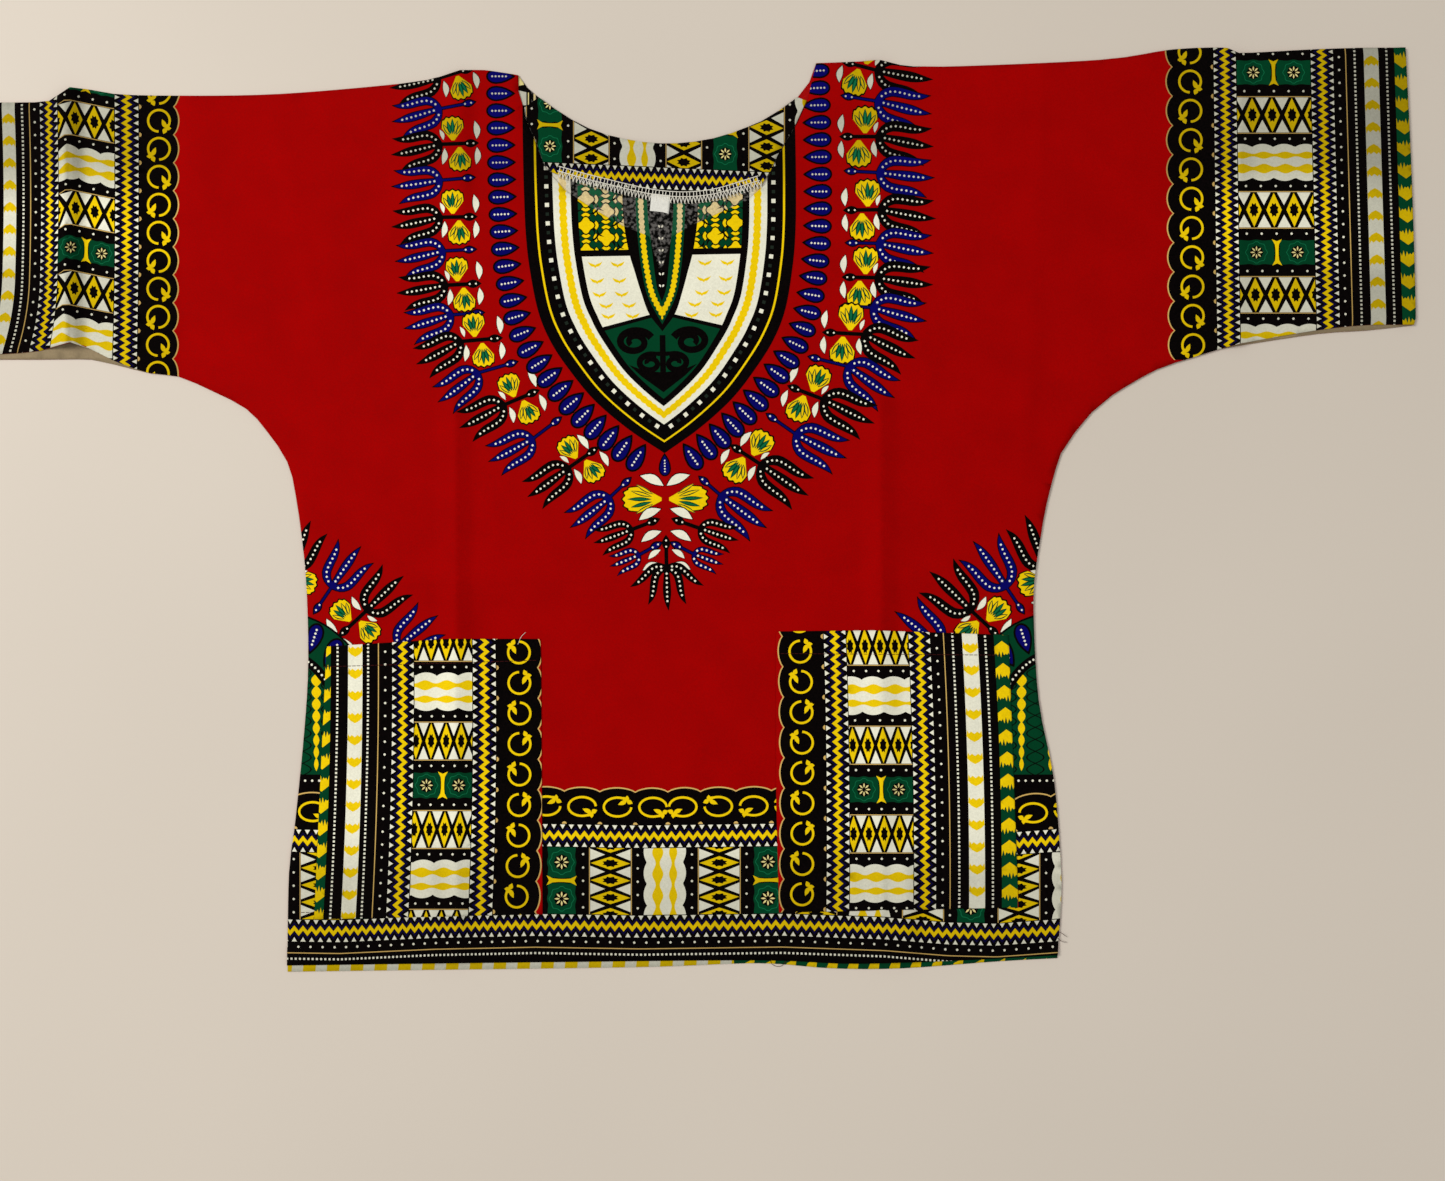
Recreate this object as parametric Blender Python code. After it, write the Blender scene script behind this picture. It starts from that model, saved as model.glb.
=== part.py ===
"""A child's dashiki shirt, laid out flat and face up on a level surface.

The front and the back are each cut in one with their wide sleeves and lie on each other.
The frame: metres, +X to the right of someone looking down at the shirt, +Y towards the
neck, +Z up. The origin is on the surface, under the middle of the shirt's bounding box.
"""

import math

import bpy
from mathutils import Vector
from mathutils.geometry import delaunay_2d_cdt, intersect_point_line

MM = 0.001

# Layers
WALL = 1.0 * MM            # cloth, a turned edge taken with it
GAP = 0.3 * MM             # between pieces that lie on or beside each other
OUTLINE_STEP = 11.0 * MM   # spacing of points along a curved edge
GRID_STEP = 20.0 * MM      # spacing of points inside a panel
FOLD_STEP = 15.0 * MM      # spacing of points along a fold
KEEP_OFF = 5.0 * MM        # least distance of an inner point from an edge or a fold's points

# Edges. Each row is (x mm, y mm, turn), and the rows run anticlockwise round the shirt seen
# from above, starting at the neck on the left. "smooth" rows lie on one curve.
SHOULDER_LEFT = [
    (-101, 254, "corner"), (-121, 257, "smooth"), (-135, 257, "smooth"), (-147, 253, "smooth"),
    (-170, 249, "smooth"), (-241, 243, "smooth"), (-300, 242, "smooth"), (-337, 243, "smooth"),
    (-363, 247, "smooth"), (-375, 239, "smooth"), (-404, 238, "smooth"), (-423, 238, "corner"),
]
UNDERARM_LEFT_FRONT = [
    (-423, 91, "corner"), (-404, 91, "smooth"), (-380, 93, "smooth"), (-363, 98, "smooth"),
    (-351, 94, "smooth"), (-337, 87, "smooth"),
]
UNDERARM_LEFT_BACK = [
    (-423, 88, "corner"), (-380, 88, "smooth"), (-351, 88, "smooth"), (-337, 85, "smooth"),
]
SIDE_LEFT = [
    (-317, 80, "smooth"), (-300, 78, "smooth"), (-279, 69, "smooth"), (-260, 59, "smooth"),
    (-248, 46, "smooth"), (-236, 28, "smooth"), (-231, 8, "smooth"), (-226, -29, "smooth"),
    (-224, -64, "smooth"), (-224, -99, "smooth"), (-227, -140, "smooth"), (-232, -188, "smooth"),
    (-235, -212, "smooth"),
]
HEM_FRONT = [
    (-236, -266, "corner"), (-160, -265, "smooth"), (-77, -264, "smooth"), (40, -263, "smooth"),
    (95, -265, "smooth"), (158, -263, "smooth"), (214, -260, "corner"),
]
HEM_BACK = [
    (-236, -270, "corner"), (-160, -269, "smooth"), (-77, -268, "smooth"), (-18, -267, "smooth"),
    (40, -265, "smooth"), (82, -268, "smooth"), (123, -268, "smooth"), (178, -264, "smooth"),
    (214, -262, "corner"),
]
SIDE_RIGHT = [
    (216, -231, "smooth"), (216, -208, "smooth"), (212, -158, "smooth"), (203, -111, "smooth"),
    (200, -58, "smooth"), (201, -37, "smooth"), (204, -17, "smooth"), (208, 5, "smooth"),
    (216, 33, "smooth"), (224, 45, "smooth"), (234, 57, "smooth"), (246, 67, "smooth"),
    (272, 82, "smooth"), (293, 89, "smooth"), (309, 94, "smooth"),
]
UNDERARM_RIGHT_FRONT = [(320, 97, "smooth"), (366, 105, "smooth"), (395, 108, "smooth")]
UNDERARM_RIGHT_BACK = [(320, 96, "smooth"), (366, 103, "smooth"), (395, 105, "smooth")]
CUFF_RIGHT = [
    (422, 108, "corner"), (423, 112, "smooth"), (422, 154, "smooth"), (420, 210, "smooth"),
    (417, 270, "corner"),
]
SHOULDER_RIGHT = [
    (394, 270, "smooth"), (362, 269, "smooth"), (320, 267, "smooth"), (313, 270, "smooth"),
    (281, 269, "smooth"), (239, 263, "smooth"), (148, 259, "smooth"), (122, 260, "smooth"),
    (110, 263, "smooth"), (99, 262, "smooth"), (73, 261, "corner"),
]
NECK_FRONT = [
    (71, 253, "smooth"), (68, 239, "smooth"), (62, 226, "smooth"), (51, 207, "smooth"),
    (43, 190, "smooth"), (33, 181, "smooth"), (24, 177, "smooth"), (2, 167, "smooth"),
    (-11, 160, "corner"), (-18, 138, "corner"), (-25, 160, "corner"), (-40, 166, "smooth"),
    (-62, 179, "smooth"), (-74, 187, "smooth"), (-82, 196, "smooth"), (-87, 203, "smooth"),
    (-91, 215, "smooth"), (-96, 226, "smooth"), (-98, 235, "smooth"), (-101, 245, "smooth"),
]
NECK_BACK = [
    (69, 250, "smooth"), (62, 241, "smooth"), (51, 233, "smooth"), (41, 227, "smooth"),
    (13, 217, "smooth"), (-18, 214, "smooth"), (-49, 219, "smooth"), (-70, 228, "smooth"),
    (-89, 241, "smooth"), (-96, 247, "smooth"),
]
# The facing's free edge inside the neck, from left to right
FACING_EDGE = [
    (-81, 197, "corner"), (-53, 188, "smooth"), (-18, 180, "smooth"), (11, 181, "smooth"),
    (41, 190, "corner"),
]
FACING_TOP_LEFT = 245      # mm; above these two heights the seam's turned end takes its place
FACING_TOP_RIGHT = 241
FACING_CLEAR = 2 * GAP     # to the front's neckline
POCKET_CORNERS = {
    "left_pocket": [(-210, -82), (-220, -239), (-87, -236), (-88, -77)],
    "right_pocket": [(50, -71), (53, -235), (191, -232), (185, -74)],
}

# Folds that packing left in the front. Each row is a soft ridge along a line from (x0, y0) to
# (x1, y1) mm, height mm tall and half_width mm wide to each side, lower towards its ends.
FOLD_COLUMNS = ("x0", "y0", "x1", "y1", "half_width", "height")
FOLDS = [
    (-364, 250, -363, 92, 15, 7.0),
    (-137, 258, -136, 176, 13, 2.6),
    (-138, 60, -137, -262, 13, 2.8),
    (110, 264, 111, 150, 13, 2.6),
    (110, 60, 112, -262, 13, 2.6),
    (320, 268, 320, 98, 11, 2.2),
    (-215, -46, 190, -38, 14, 1.3),
    (-152, -205, -150, -262, 11, 3.0),
    (124, -205, 126, -262, 11, 3.0),
]
FOLD_END = 14.0 * MM      # length over which a fold dies out at each end
# The cloth floats a little between its seams. Each row is (x mm, y mm, radius mm, height mm).
SWELLS = [
    (-240, 165, 75, 1.6),
    (-60, 30, 120, 1.8),
    (40, -120, 95, 1.2),
    (215, 175, 80, 1.6),
    (150, 20, 70, 1.2),
]

# The size tab: width, length above and below the facing's edge, tilt and place of its middle
TAB_WIDTH = 11.0 * MM
TAB_ABOVE = 4.0 * MM
TAB_BELOW = 6.0 * MM
TAB_DROP = 3.5 * MM        # length over which it comes down from the facing
TAB_TILT = math.radians(6.0)
TAB_X = -18.0 * MM
TAB_Y = 180.2 * MM

COLOURS = {
    "back_panel": (0.35, 0.03, 0.02),
    "front_panel": (0.45, 0.005, 0.005),
    "back_neck_facing": (0.02, 0.02, 0.02),
    "left_pocket": (0.05, 0.05, 0.05),
    "right_pocket": (0.05, 0.05, 0.05),
    "size_tab": (0.75, 0.75, 0.70),
}
CLOTH_ROUGHNESS = 0.85


def clear_scene():
    for thing in list(bpy.data.objects):
        bpy.data.objects.remove(thing)


def curve_through(knots, closed_end):
    """Points about OUTLINE_STEP apart on a smooth curve through the knots, less the last."""
    points = []
    before = [knots[0] * 2 - knots[1], *knots[:-1]]
    after = [*knots[2:], closed_end]
    for p0, p1, p2, p3 in zip(before, knots, knots[1:], after):
        pieces = max(1, round((p2 - p1).length / OUTLINE_STEP))
        for i in range(pieces):
            t = i / pieces
            points.append(
                0.5 * (2 * p1 + t * (p2 - p0) + t**2 * (2 * p0 - 5 * p1 + 4 * p2 - p3)
                       + t**3 * (3 * p1 - p0 - 3 * p2 + p3))
            )
    return points


def edge_points(rows, closed):
    """The points of an edge given by (x mm, y mm, turn) rows, split at its corners."""
    rows = [*rows, rows[0]] if closed else rows
    points = []
    run = []
    for x, y, turn in rows:
        run.append(Vector((x * MM, y * MM)))
        if turn == "corner" and len(run) > 1:
            points += curve_through(run, run[-1] * 2 - run[-2])
            run = run[-1:]
    return points if closed else [*points, run[-1]]


def fold_shape(t):
    """1 on a fold's line and 0 at its foot, for t from 0 to 1."""
    return 0.5 * (1 + math.cos(math.pi * min(abs(t), 1.0)))


def height_at(x, y):
    """How far the front panel is raised above lying flat on the back."""
    raised = 0.0
    for row in FOLDS:
        fold = dict(zip(FOLD_COLUMNS, row))
        start = Vector((fold["x0"], fold["y0"])) * MM
        end = Vector((fold["x1"], fold["y1"])) * MM
        foot, along = intersect_point_line(Vector((x, y)), start, end)
        off = (Vector((x, y)) - foot.to_2d()).length
        span = (end - start).length
        past = max(-along, along - 1.0, 0.0) * span
        raised += (
            fold["height"] * MM
            * fold_shape(off / (fold["half_width"] * MM))
            * fold_shape(past / FOLD_END)
        )
    for cx, cy, radius, height in SWELLS:
        away = math.hypot(x - cx * MM, y - cy * MM) / (radius * MM)
        raised += height * MM * fold_shape(away)
    return raised


def fold_points():
    """Points along each fold's line and flanks, so that the mesh bends where the fold does."""
    points = []
    for row in FOLDS:
        fold = dict(zip(FOLD_COLUMNS, row))
        start = Vector((fold["x0"], fold["y0"])) * MM
        end = Vector((fold["x1"], fold["y1"])) * MM
        way = (end - start).normalized()
        across = Vector((-way.y, way.x))
        steps = round((end - start).length / FOLD_STEP)
        for i in range(steps + 1):
            middle = start.lerp(end, i / steps)
            points += [
                middle + across * (share * fold["half_width"] * MM)
                for share in (-1.0, -0.5, 0.0, 0.5, 1.0)
            ]
    return points


def distance_to_loop(point, loop):
    nearest = math.inf
    for a, b in zip(loop, [*loop[1:], loop[0]]):
        share = max(0.0, min(1.0, (point - a).dot(b - a) / (b - a).length_squared))
        nearest = min(nearest, (point - a.lerp(b, share)).length)
    return nearest


def inner_points(loops):
    """Fold points, then an even grid between them, all clear of the loops and each other."""
    box = [f(p[i] for p in loops[0]) for i in (0, 1) for f in (min, max)]
    columns = math.ceil((box[1] - box[0]) / GRID_STEP)
    rows = math.ceil((box[3] - box[2]) / GRID_STEP)
    wanted = fold_points() + [
        Vector((box[0] + (i + 0.5 * (j % 2)) * GRID_STEP, box[2] + j * GRID_STEP))
        for j in range(rows)
        for i in range(columns)
    ]
    kept = []
    for point in wanted:
        if any((point - other).length < KEEP_OFF for other in kept):
            continue
        if min(distance_to_loop(point, loop) for loop in loops) > KEEP_OFF:
            kept.append(point)
    return kept


def plan_of(loops, inner):
    """The plan's points, and its triangles, each with the numbers of the loops that hold it."""
    points = [p for loop in loops for p in loop] + inner
    faces = []
    first = 0
    for loop in loops:
        faces.append(list(range(first, first + len(loop))))
        first += len(loop)
    found = delaunay_2d_cdt(points, [], faces, 1, 1e-7, True)
    return found[0], [(t, set(holders)) for t, holders in zip(found[2], found[5]) if holders]


def add_sheet(name, points, triangles, bottom_of):
    """A closed wall of cloth: the triangles at bottom_of(point), again one WALL higher, and
    a rim round every free edge."""
    used = sorted({v for triangle in triangles for v in triangle})
    place = {v: i for i, v in enumerate(used)}
    low = [(points[v].x, points[v].y, bottom_of(points[v])) for v in used]
    high = [(x, y, z + WALL) for x, y, z in low]
    count = len(used)
    faces = []
    sides = set()
    for triangle in triangles:
        a, b, c = (place[v] for v in triangle)
        faces.append((a + count, b + count, c + count))
        faces.append((c, b, a))
        sides |= {(a, b), (b, c), (c, a)}
    faces += [(a, b, b + count, a + count) for a, b in sorted(sides) if (b, a) not in sides]
    mesh = bpy.data.meshes.new(name)
    mesh.from_pydata(low + high, [], faces)
    mesh.update()
    return add_object(name, mesh)


def add_object(name, mesh):
    colour = bpy.data.materials.new(name)
    colour.use_nodes = True
    shader = colour.node_tree.nodes["Principled BSDF"]
    shader.inputs["Base Color"].default_value = (*COLOURS[name], 1.0)
    shader.inputs["Roughness"].default_value = CLOTH_ROUGHNESS
    shader.inputs["Metallic"].default_value = 0.0
    mesh.materials.append(colour)
    made = bpy.data.objects.new(name, mesh)
    bpy.context.scene.collection.objects.link(made)
    return made


def pocket_loop(corners):
    """The pocket's edge with points about OUTLINE_STEP apart, anticlockwise."""
    ends = [Vector(corner) * MM for corner in corners]
    points = []
    for a, b in zip(ends, [*ends[1:], ends[0]]):
        pieces = round((b - a).length / OUTLINE_STEP)
        points += [a.lerp(b, i / pieces) for i in range(pieces)]
    return points


def back_panel():
    rows = (SHOULDER_LEFT + UNDERARM_LEFT_BACK + SIDE_LEFT + HEM_BACK + SIDE_RIGHT
            + UNDERARM_RIGHT_BACK + CUFF_RIGHT + SHOULDER_RIGHT + NECK_BACK)
    points, held = plan_of([edge_points(rows, True)], [])
    add_sheet("back_panel", points, [t for t, _ in held], lambda p: 0.0)


def front_panel_and_pockets():
    """The pockets take their points from the panel's plan, so they follow its folds."""
    rows = (SHOULDER_LEFT + UNDERARM_LEFT_FRONT + SIDE_LEFT + HEM_FRONT + SIDE_RIGHT
            + UNDERARM_RIGHT_FRONT + CUFF_RIGHT + SHOULDER_RIGHT + NECK_FRONT)
    loops = [edge_points(rows, True)]
    loops += [pocket_loop(corners) for corners in POCKET_CORNERS.values()]
    points, held = plan_of(loops, inner_points(loops))
    panel_bottom = WALL + GAP
    add_sheet("front_panel", points, [t for t, _ in held],
              lambda p: panel_bottom + height_at(p.x, p.y))
    pocket_bottom = panel_bottom + WALL + GAP
    for number, name in enumerate(POCKET_CORNERS, start=1):
        own = [t for t, holders in held if number in holders]
        add_sheet(name, points, own, lambda p: pocket_bottom + height_at(p.x, p.y))


def back_neck_facing():
    """It lies on the back inside the neck, clear of the front's neckline."""
    front = edge_points([SHOULDER_LEFT[0], *NECK_FRONT[::-1], SHOULDER_RIGHT[-1]], False)
    back = edge_points([SHOULDER_RIGHT[-1], *NECK_BACK, SHOULDER_LEFT[0]], False)
    lower = edge_points(FACING_EDGE, False)
    middle = 0.5 * (lower[0].x + lower[-1].x)
    clear = Vector((FACING_CLEAR, 0.0))

    def top(p):
        return (FACING_TOP_LEFT if p.x < middle else FACING_TOP_RIGHT) * MM

    left = [p + clear for p in front if p.x < middle and lower[0].y + KEEP_OFF < p.y < top(p)]
    right = [p - clear for p in front if p.x > middle and lower[-1].y + KEEP_OFF < p.y < top(p)]
    upper = [p for p in back if p.y < top(p)]
    points, held = plan_of([upper + left + lower + right], [])
    add_sheet("back_neck_facing", points, [t for t, _ in held], lambda p: WALL + GAP)


def size_tab():
    """A short woven tape that hangs over the facing's edge on to the back."""
    on_facing = 2 * (WALL + GAP)
    on_back = WALL + GAP
    stations = [
        (TAB_ABOVE, on_facing),
        (-2 * GAP, on_facing),
        (-TAB_DROP, on_back),
        (-TAB_BELOW, on_back),
    ]
    way = Vector((math.sin(TAB_TILT), math.cos(TAB_TILT)))
    side = Vector((way.y, -way.x)) * (TAB_WIDTH / 2)
    centre = Vector((TAB_X, TAB_Y))
    points = []
    height = {}
    for along, z in stations:
        for sign in (-1, 1):
            point = centre + way * along + side * sign
            height[tuple(point)] = z
            points.append(point)
    triangles = []
    for i in range(0, len(points) - 2, 2):
        triangles += [(i, i + 2, i + 1), (i + 1, i + 2, i + 3)]
    add_sheet("size_tab", points, triangles, lambda p: height[tuple(p)])


def main():
    clear_scene()
    back_panel()
    front_panel_and_pockets()
    back_neck_facing()
    size_tab()


main()
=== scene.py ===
"""Looks of a child's dashiki shirt, laid out flat and face up.

Each piece of cloth is a thin shell on its solid's form. Its print is part of the mesh: the
motifs are drawn as polygons in millimetres, cut into the sheet's plan, and each face wears the
dye of the topmost motif over it.
"""
import math

import bpy
import numpy as np
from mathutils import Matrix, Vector, kdtree
from mathutils.geometry import delaunay_2d_cdt


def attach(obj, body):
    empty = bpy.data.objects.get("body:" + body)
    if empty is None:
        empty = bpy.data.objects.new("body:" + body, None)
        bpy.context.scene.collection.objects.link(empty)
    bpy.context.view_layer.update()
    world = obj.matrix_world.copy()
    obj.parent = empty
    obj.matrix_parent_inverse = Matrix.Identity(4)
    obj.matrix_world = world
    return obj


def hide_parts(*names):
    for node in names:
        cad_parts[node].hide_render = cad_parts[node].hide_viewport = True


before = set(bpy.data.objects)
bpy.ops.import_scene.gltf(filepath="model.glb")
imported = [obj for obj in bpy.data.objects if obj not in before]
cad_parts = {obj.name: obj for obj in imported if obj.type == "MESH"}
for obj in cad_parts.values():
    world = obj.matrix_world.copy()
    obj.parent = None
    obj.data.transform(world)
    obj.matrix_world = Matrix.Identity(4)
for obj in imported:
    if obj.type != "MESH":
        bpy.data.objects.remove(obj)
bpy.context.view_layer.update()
MM = 0.001

# The cloth as it is shown
SHEET = 0.45               # mm, one layer with its print
LAYER_GAP = 0.3            # mm, the solids' gap between pieces
CAD_WALL = 1.0             # mm, the solids' cloth
PLAN_STEP = 6.0            # mm between the plan's inner points
EDGE_ROUND = 3.5           # mm over which a sewn edge curves down to the layer below

# The photo, and the camera that saw it
PIXEL = 0.585 * MM         # of the photo, at the cloth
PHOTO_WIDTH, PHOTO_HEIGHT = 1445, 1181
MIDDLE_PX = (691.25, 510.0)    # the photo's pixel at the origin
LENS, SENSOR = 35.0, 36.0
CAMERA_X = (PHOTO_WIDTH / 2 - MIDDLE_PX[0]) * PIXEL
CAMERA_Y = (MIDDLE_PX[1] - PHOTO_HEIGHT / 2) * PIXEL
CAMERA_Z = PHOTO_WIDTH * PIXEL * LENS / SENSOR

# The print is drawn upright, and lies turned by this much about this point.
LAY_TURN = math.radians(1.0)
LAY_X, LAY_Y = -16.8, 105.3

# Folds that packing left in the front, as in the solids: a ridge from (x0, y0) to (x1, y1) mm.
FOLD_COLUMNS = ("x0", "y0", "x1", "y1", "half_width", "height")
FOLDS = [
    (-366, 250, -365, 92, 14, 7.0),
    (-137, 258, -136, 176, 13, 2.6),
    (-138, 60, -137, -262, 13, 2.8),
    (110, 264, 111, 150, 13, 2.6),
    (110, 60, 112, -262, 13, 2.6),
    (320, 268, 320, 98, 11, 2.2),
    (-215, -46, 190, -38, 14, 1.3),
    (-152, -205, -150, -262, 11, 3.0),
    (124, -205, 126, -262, 11, 3.0),
]
FOLD_END = 14.0
SWELLS = [
    (-240, 165, 75, 1.6),
    (-60, 30, 120, 1.8),
    (40, -120, 95, 1.2),
    (215, 175, 80, 1.6),
    (150, 20, 70, 1.2),
]
# Finer marks, as short pressed lines and puckers, negative where the cloth dips
CREASES = [
    (-138, 70, -137, -262, 3.5, 0.55),
    (110, 55, 112, -262, 3.5, 0.5),
    (-366.5, 248, -365.5, 95, 3.2, 1.1),
    (320, 266, 320, 100, 3.0, 0.5),
    (-205, -47, -60, -44, 4.0, -0.35),
    (-40, -43, 180, -37, 4.0, -0.35),
    (-300, 236, -297, 90, 6.0, -0.5),
    (205, 262, 196, 40, 8.0, 0.5),
    (-243, 232, -215, 90, 9.0, 0.45),
    (-18, 132, -16, 90, 5.0, 0.35),
    (-60, 5, 30, 8, 7.0, 0.3),
    (-95, -215, -88, -262, 6.0, -0.6),
    (60, -205, 70, -262, 6.0, 0.6),
    (-205, -215, -200, -262, 6.0, 0.6),
    (170, -215, 176, -258, 6.0, 0.7),
]


class Print:
    """Motifs in the order they are printed. A motif may be kept within an earlier one."""

    def __init__(self):
        self.shapes = []

    def add(self, dye, points, within=None):
        self.shapes.append((dye, points, within))
        return len(self.shapes) - 1


# Curves and places

def smooth_path(knots, step):
    """Points about step apart on a curve through the knots."""
    knots = [np.array(k, float) for k in knots]
    before = [2 * knots[0] - knots[1], *knots[:-1]]
    after = [*knots[2:], 2 * knots[-1] - knots[-2]]
    points = []
    for p0, p1, p2, p3 in zip(before, knots, knots[1:], after):
        pieces = max(1, round(float(np.linalg.norm(p2 - p1)) / step))
        for t in np.arange(pieces) / pieces:
            points.append(0.5 * (2 * p1 + t * (p2 - p0) + t**2 * (2 * p0 - 5 * p1 + 4 * p2 - p3)
                                 + t**3 * (3 * p1 - p0 - 3 * p2 + p3)))
    return np.array([*points, knots[-1]])


def normals_of(path):
    """Unit normals on the left of a path."""
    way = np.gradient(path, axis=0)
    way /= np.linalg.norm(way, axis=1)[:, None]
    return np.stack([-way[:, 1], way[:, 0]], axis=1)


def stations(path, pitch, start=0.0, end=0.0):
    """(point, unit normal) every pitch along a path, evened out to fill it."""
    lengths = np.concatenate([[0.0], np.cumsum(np.linalg.norm(np.diff(path, axis=0), axis=1))])
    count = max(1, round((lengths[-1] - start - end) / pitch))
    spots = start + (np.arange(count) + 0.5) * (lengths[-1] - start - end) / count
    normals = normals_of(path)
    found = []
    for spot in spots:
        place = [np.interp(spot, lengths, path[:, i]) for i in (0, 1)]
        normal = np.array([np.interp(spot, lengths, normals[:, i]) for i in (0, 1)])
        found.append((np.array(place), normal / np.linalg.norm(normal)))
    return found


def lay(x, y):
    """A point of the upright print, with x from its middle line, as the cloth lies."""
    rise = y - LAY_Y
    return (LAY_X + x * math.cos(LAY_TURN) - rise * math.sin(LAY_TURN),
            LAY_Y + x * math.sin(LAY_TURN) + rise * math.cos(LAY_TURN))


def spot(x, y, angle=0.0, size=1.0, side=1, onto=lay):
    """A place function for a motif at (x, y) that points along angle, mirrored with side -1."""
    c, s = math.cos(angle) * size, math.sin(angle) * size

    def place(u, v):
        return onto(side * (x + u * c - v * s), y + u * s + v * c)

    return place


def stamp(target, shapes, place, within=None):
    """Prints a motif's (dye, points) shapes at a place."""
    for dye, points in shapes:
        target.add(dye, [place(u, v) for u, v in points], within)


# Small shapes, each round the origin or along +x

def disc(radius, corners=8, x=0.0, y=0.0):
    turns = (np.arange(corners) + 0.5) * 2 * math.pi / corners
    return [(x + radius * math.cos(a), y + radius * math.sin(a)) for a in turns]


def box(x0, y0, x1, y1):
    return [(x0, y0), (x1, y0), (x1, y1), (x0, y1)]


def leaf(length, width, x=0.0, y=0.0, angle=0.0, bend=0.0, steps=7, fullest=0.5, plump=1.0):
    """A leaf from (x, y) along angle, its midrib bowed sideways by bend. Less plump than 1 is
    fuller towards its ends."""
    upper, lower = [], []
    power = math.log(0.5) / math.log(fullest)
    for t in np.linspace(0.0, 1.0, steps):
        half = 0.5 * width * max(0.0, math.sin(math.pi * t**power)) ** plump
        middle = bend * math.sin(math.pi * t)
        upper.append((t * length, middle + half))
        lower.append((t * length, middle - half))
    outline = lower + upper[-2:0:-1]
    return turned(outline, x, y, angle)


def turned(points, x, y, angle):
    c, s = math.cos(angle), math.sin(angle)
    return [(x + u * c - v * s, y + u * s + v * c) for u, v in points]


def drop(length, width, x=0.0):
    """A drop along +x with its point at x."""
    neck = 0.66
    upper = [(t, math.sin(0.5 * math.pi * t / neck) ** 0.85) for t in (0.06, 0.16, 0.3, 0.46, neck)]
    upper += [(neck + (1 - neck) * math.sin(a), math.cos(a)) for a in (0.4, 0.75, 1.05, 1.3)]
    upper = [(x + t * length, 0.5 * width * half) for t, half in upper]
    return [(x, 0.0), *[(u, -v) for u, v in upper], (x + length, 0.0), *upper[::-1]]


def stroke(path, half_widths):
    """A band along a path, with its half width at each point."""
    path = np.array(path, float)
    off = normals_of(path) * np.array(half_widths, float)[:, None]
    return [tuple(p) for p in path + off] + [tuple(p) for p in (path - off)[::-1]]


def blossom(radius, lobes, depth, corners=30):
    turns = np.arange(corners) * 2 * math.pi / corners
    return [(radius * (1 + depth * math.cos(lobes * a)) * math.cos(a),
             radius * (1 + depth * math.cos(lobes * a)) * math.sin(a)) for a in turns]


def dots_along(start, end, count, radius, bow=0.0):
    """(dye, points) of white dots on a line that bows sideways."""
    start, end = np.array(start, float), np.array(end, float)
    across = np.array([-(end - start)[1], (end - start)[0]])
    across /= np.linalg.norm(across)
    shapes = []
    for t in np.linspace(0.0, 1.0, count):
        x, y = start + (end - start) * t + across * bow * math.sin(math.pi * t)
        shapes.append(("white", disc(radius, 5, x, y)))
    return shapes


# Motifs of the garland. Each grows along +x from the origin.

def petal():
    """A drop with its point towards the yoke."""
    return [("black", drop(17.2, 9.2, 4.0)), ("navy", drop(14.2, 7.0, 5.9)),
            *dots_along((9.6, 0.0), (17.6, 0.0), 5, 0.66)]


# A sprig's outer leaf beside its middle one: (x, y) mm from its head, and half its width there
OUTER_LEAF = [(0.0, 0.0, 1.9), (2.2, 4.2, 2.6), (6.0, 7.1, 3.0), (11.5, 7.9, 2.95), (17.5, 8.0, 2.7),
              (23.0, 8.8, 1.8), (28.0, 10.6, 0.1)]
MIDDLE_LEAF = [(0.0, 0.0, 1.9), (6.0, 0.0, 2.3), (13.0, 0.0, 2.9), (19.5, 0.1, 2.9), (25.5, 0.3, 1.8),
               (31.0, 1.0, 0.1)]


def leaf_path(knots, size, splay, hand=1):
    """A sprig's leaf as a path with half widths, splayed out by an angle."""
    fine = smooth_path(knots, 2.2)
    c, s = math.cos(hand * splay), math.sin(hand * splay)
    return [((x * c - hand * y * s) * size, (x * s + hand * y * c) * size, max(half, 0.1) * size)
            for x, y, half in fine]


def sprig(dye, stem=21.5, tilt=0.0, size=1.0, splays=(0.0,)):
    """A stem with a bud at its foot, and at its head a middle leaf with a pair of bent ones for
    each splay. All have dotted midribs, and tilt from the stem's way."""
    tilt = math.radians(tilt)
    shapes = [("black", box(2.0, -1.15, stem + 2.0, 1.15)), ("black", leaf(10.0, 5.0, x=-1.0))]
    paths = [leaf_path(MIDDLE_LEAF, size, 0.0)]
    for splay in splays:
        paths += [leaf_path(OUTER_LEAF, size, splay, hand) for hand in (1, -1)]

    def drawn(colour, thinner, ends):
        for path in paths:
            kept = path[:len(path) - ends]
            band = stroke([(x, y) for x, y, _ in kept], [max(half - thinner, 0.1) for *_, half in kept])
            shapes.append((colour, turned(band, stem - 1.0, 0.0, tilt)))

    drawn("black", 0.0, 0)
    if dye != "black":
        shapes.append((dye, box(3.0, -0.55, stem + 2.0, 0.55)))
        shapes.append((dye, leaf(7.6, 3.2, x=0.2)))
        drawn(dye, 0.6, 1)
    shapes += dots_along((2.4, 0.0), (6.0, 0.0), 2, 0.62)
    for path in paths:
        rib = np.array([(x, y) for x, y, _ in path])
        lengths = np.linalg.norm(np.diff(rib, axis=0), axis=1).sum()
        for (x, y), _ in stations(rib, 2.7, 2.4 * size, 0.17 * lengths):
            (u, v), = turned([(x, y)], stem - 1.0, 0.0, tilt)
            shapes.append(("white", disc(0.72, 5, u, v)))
    return shapes


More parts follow.
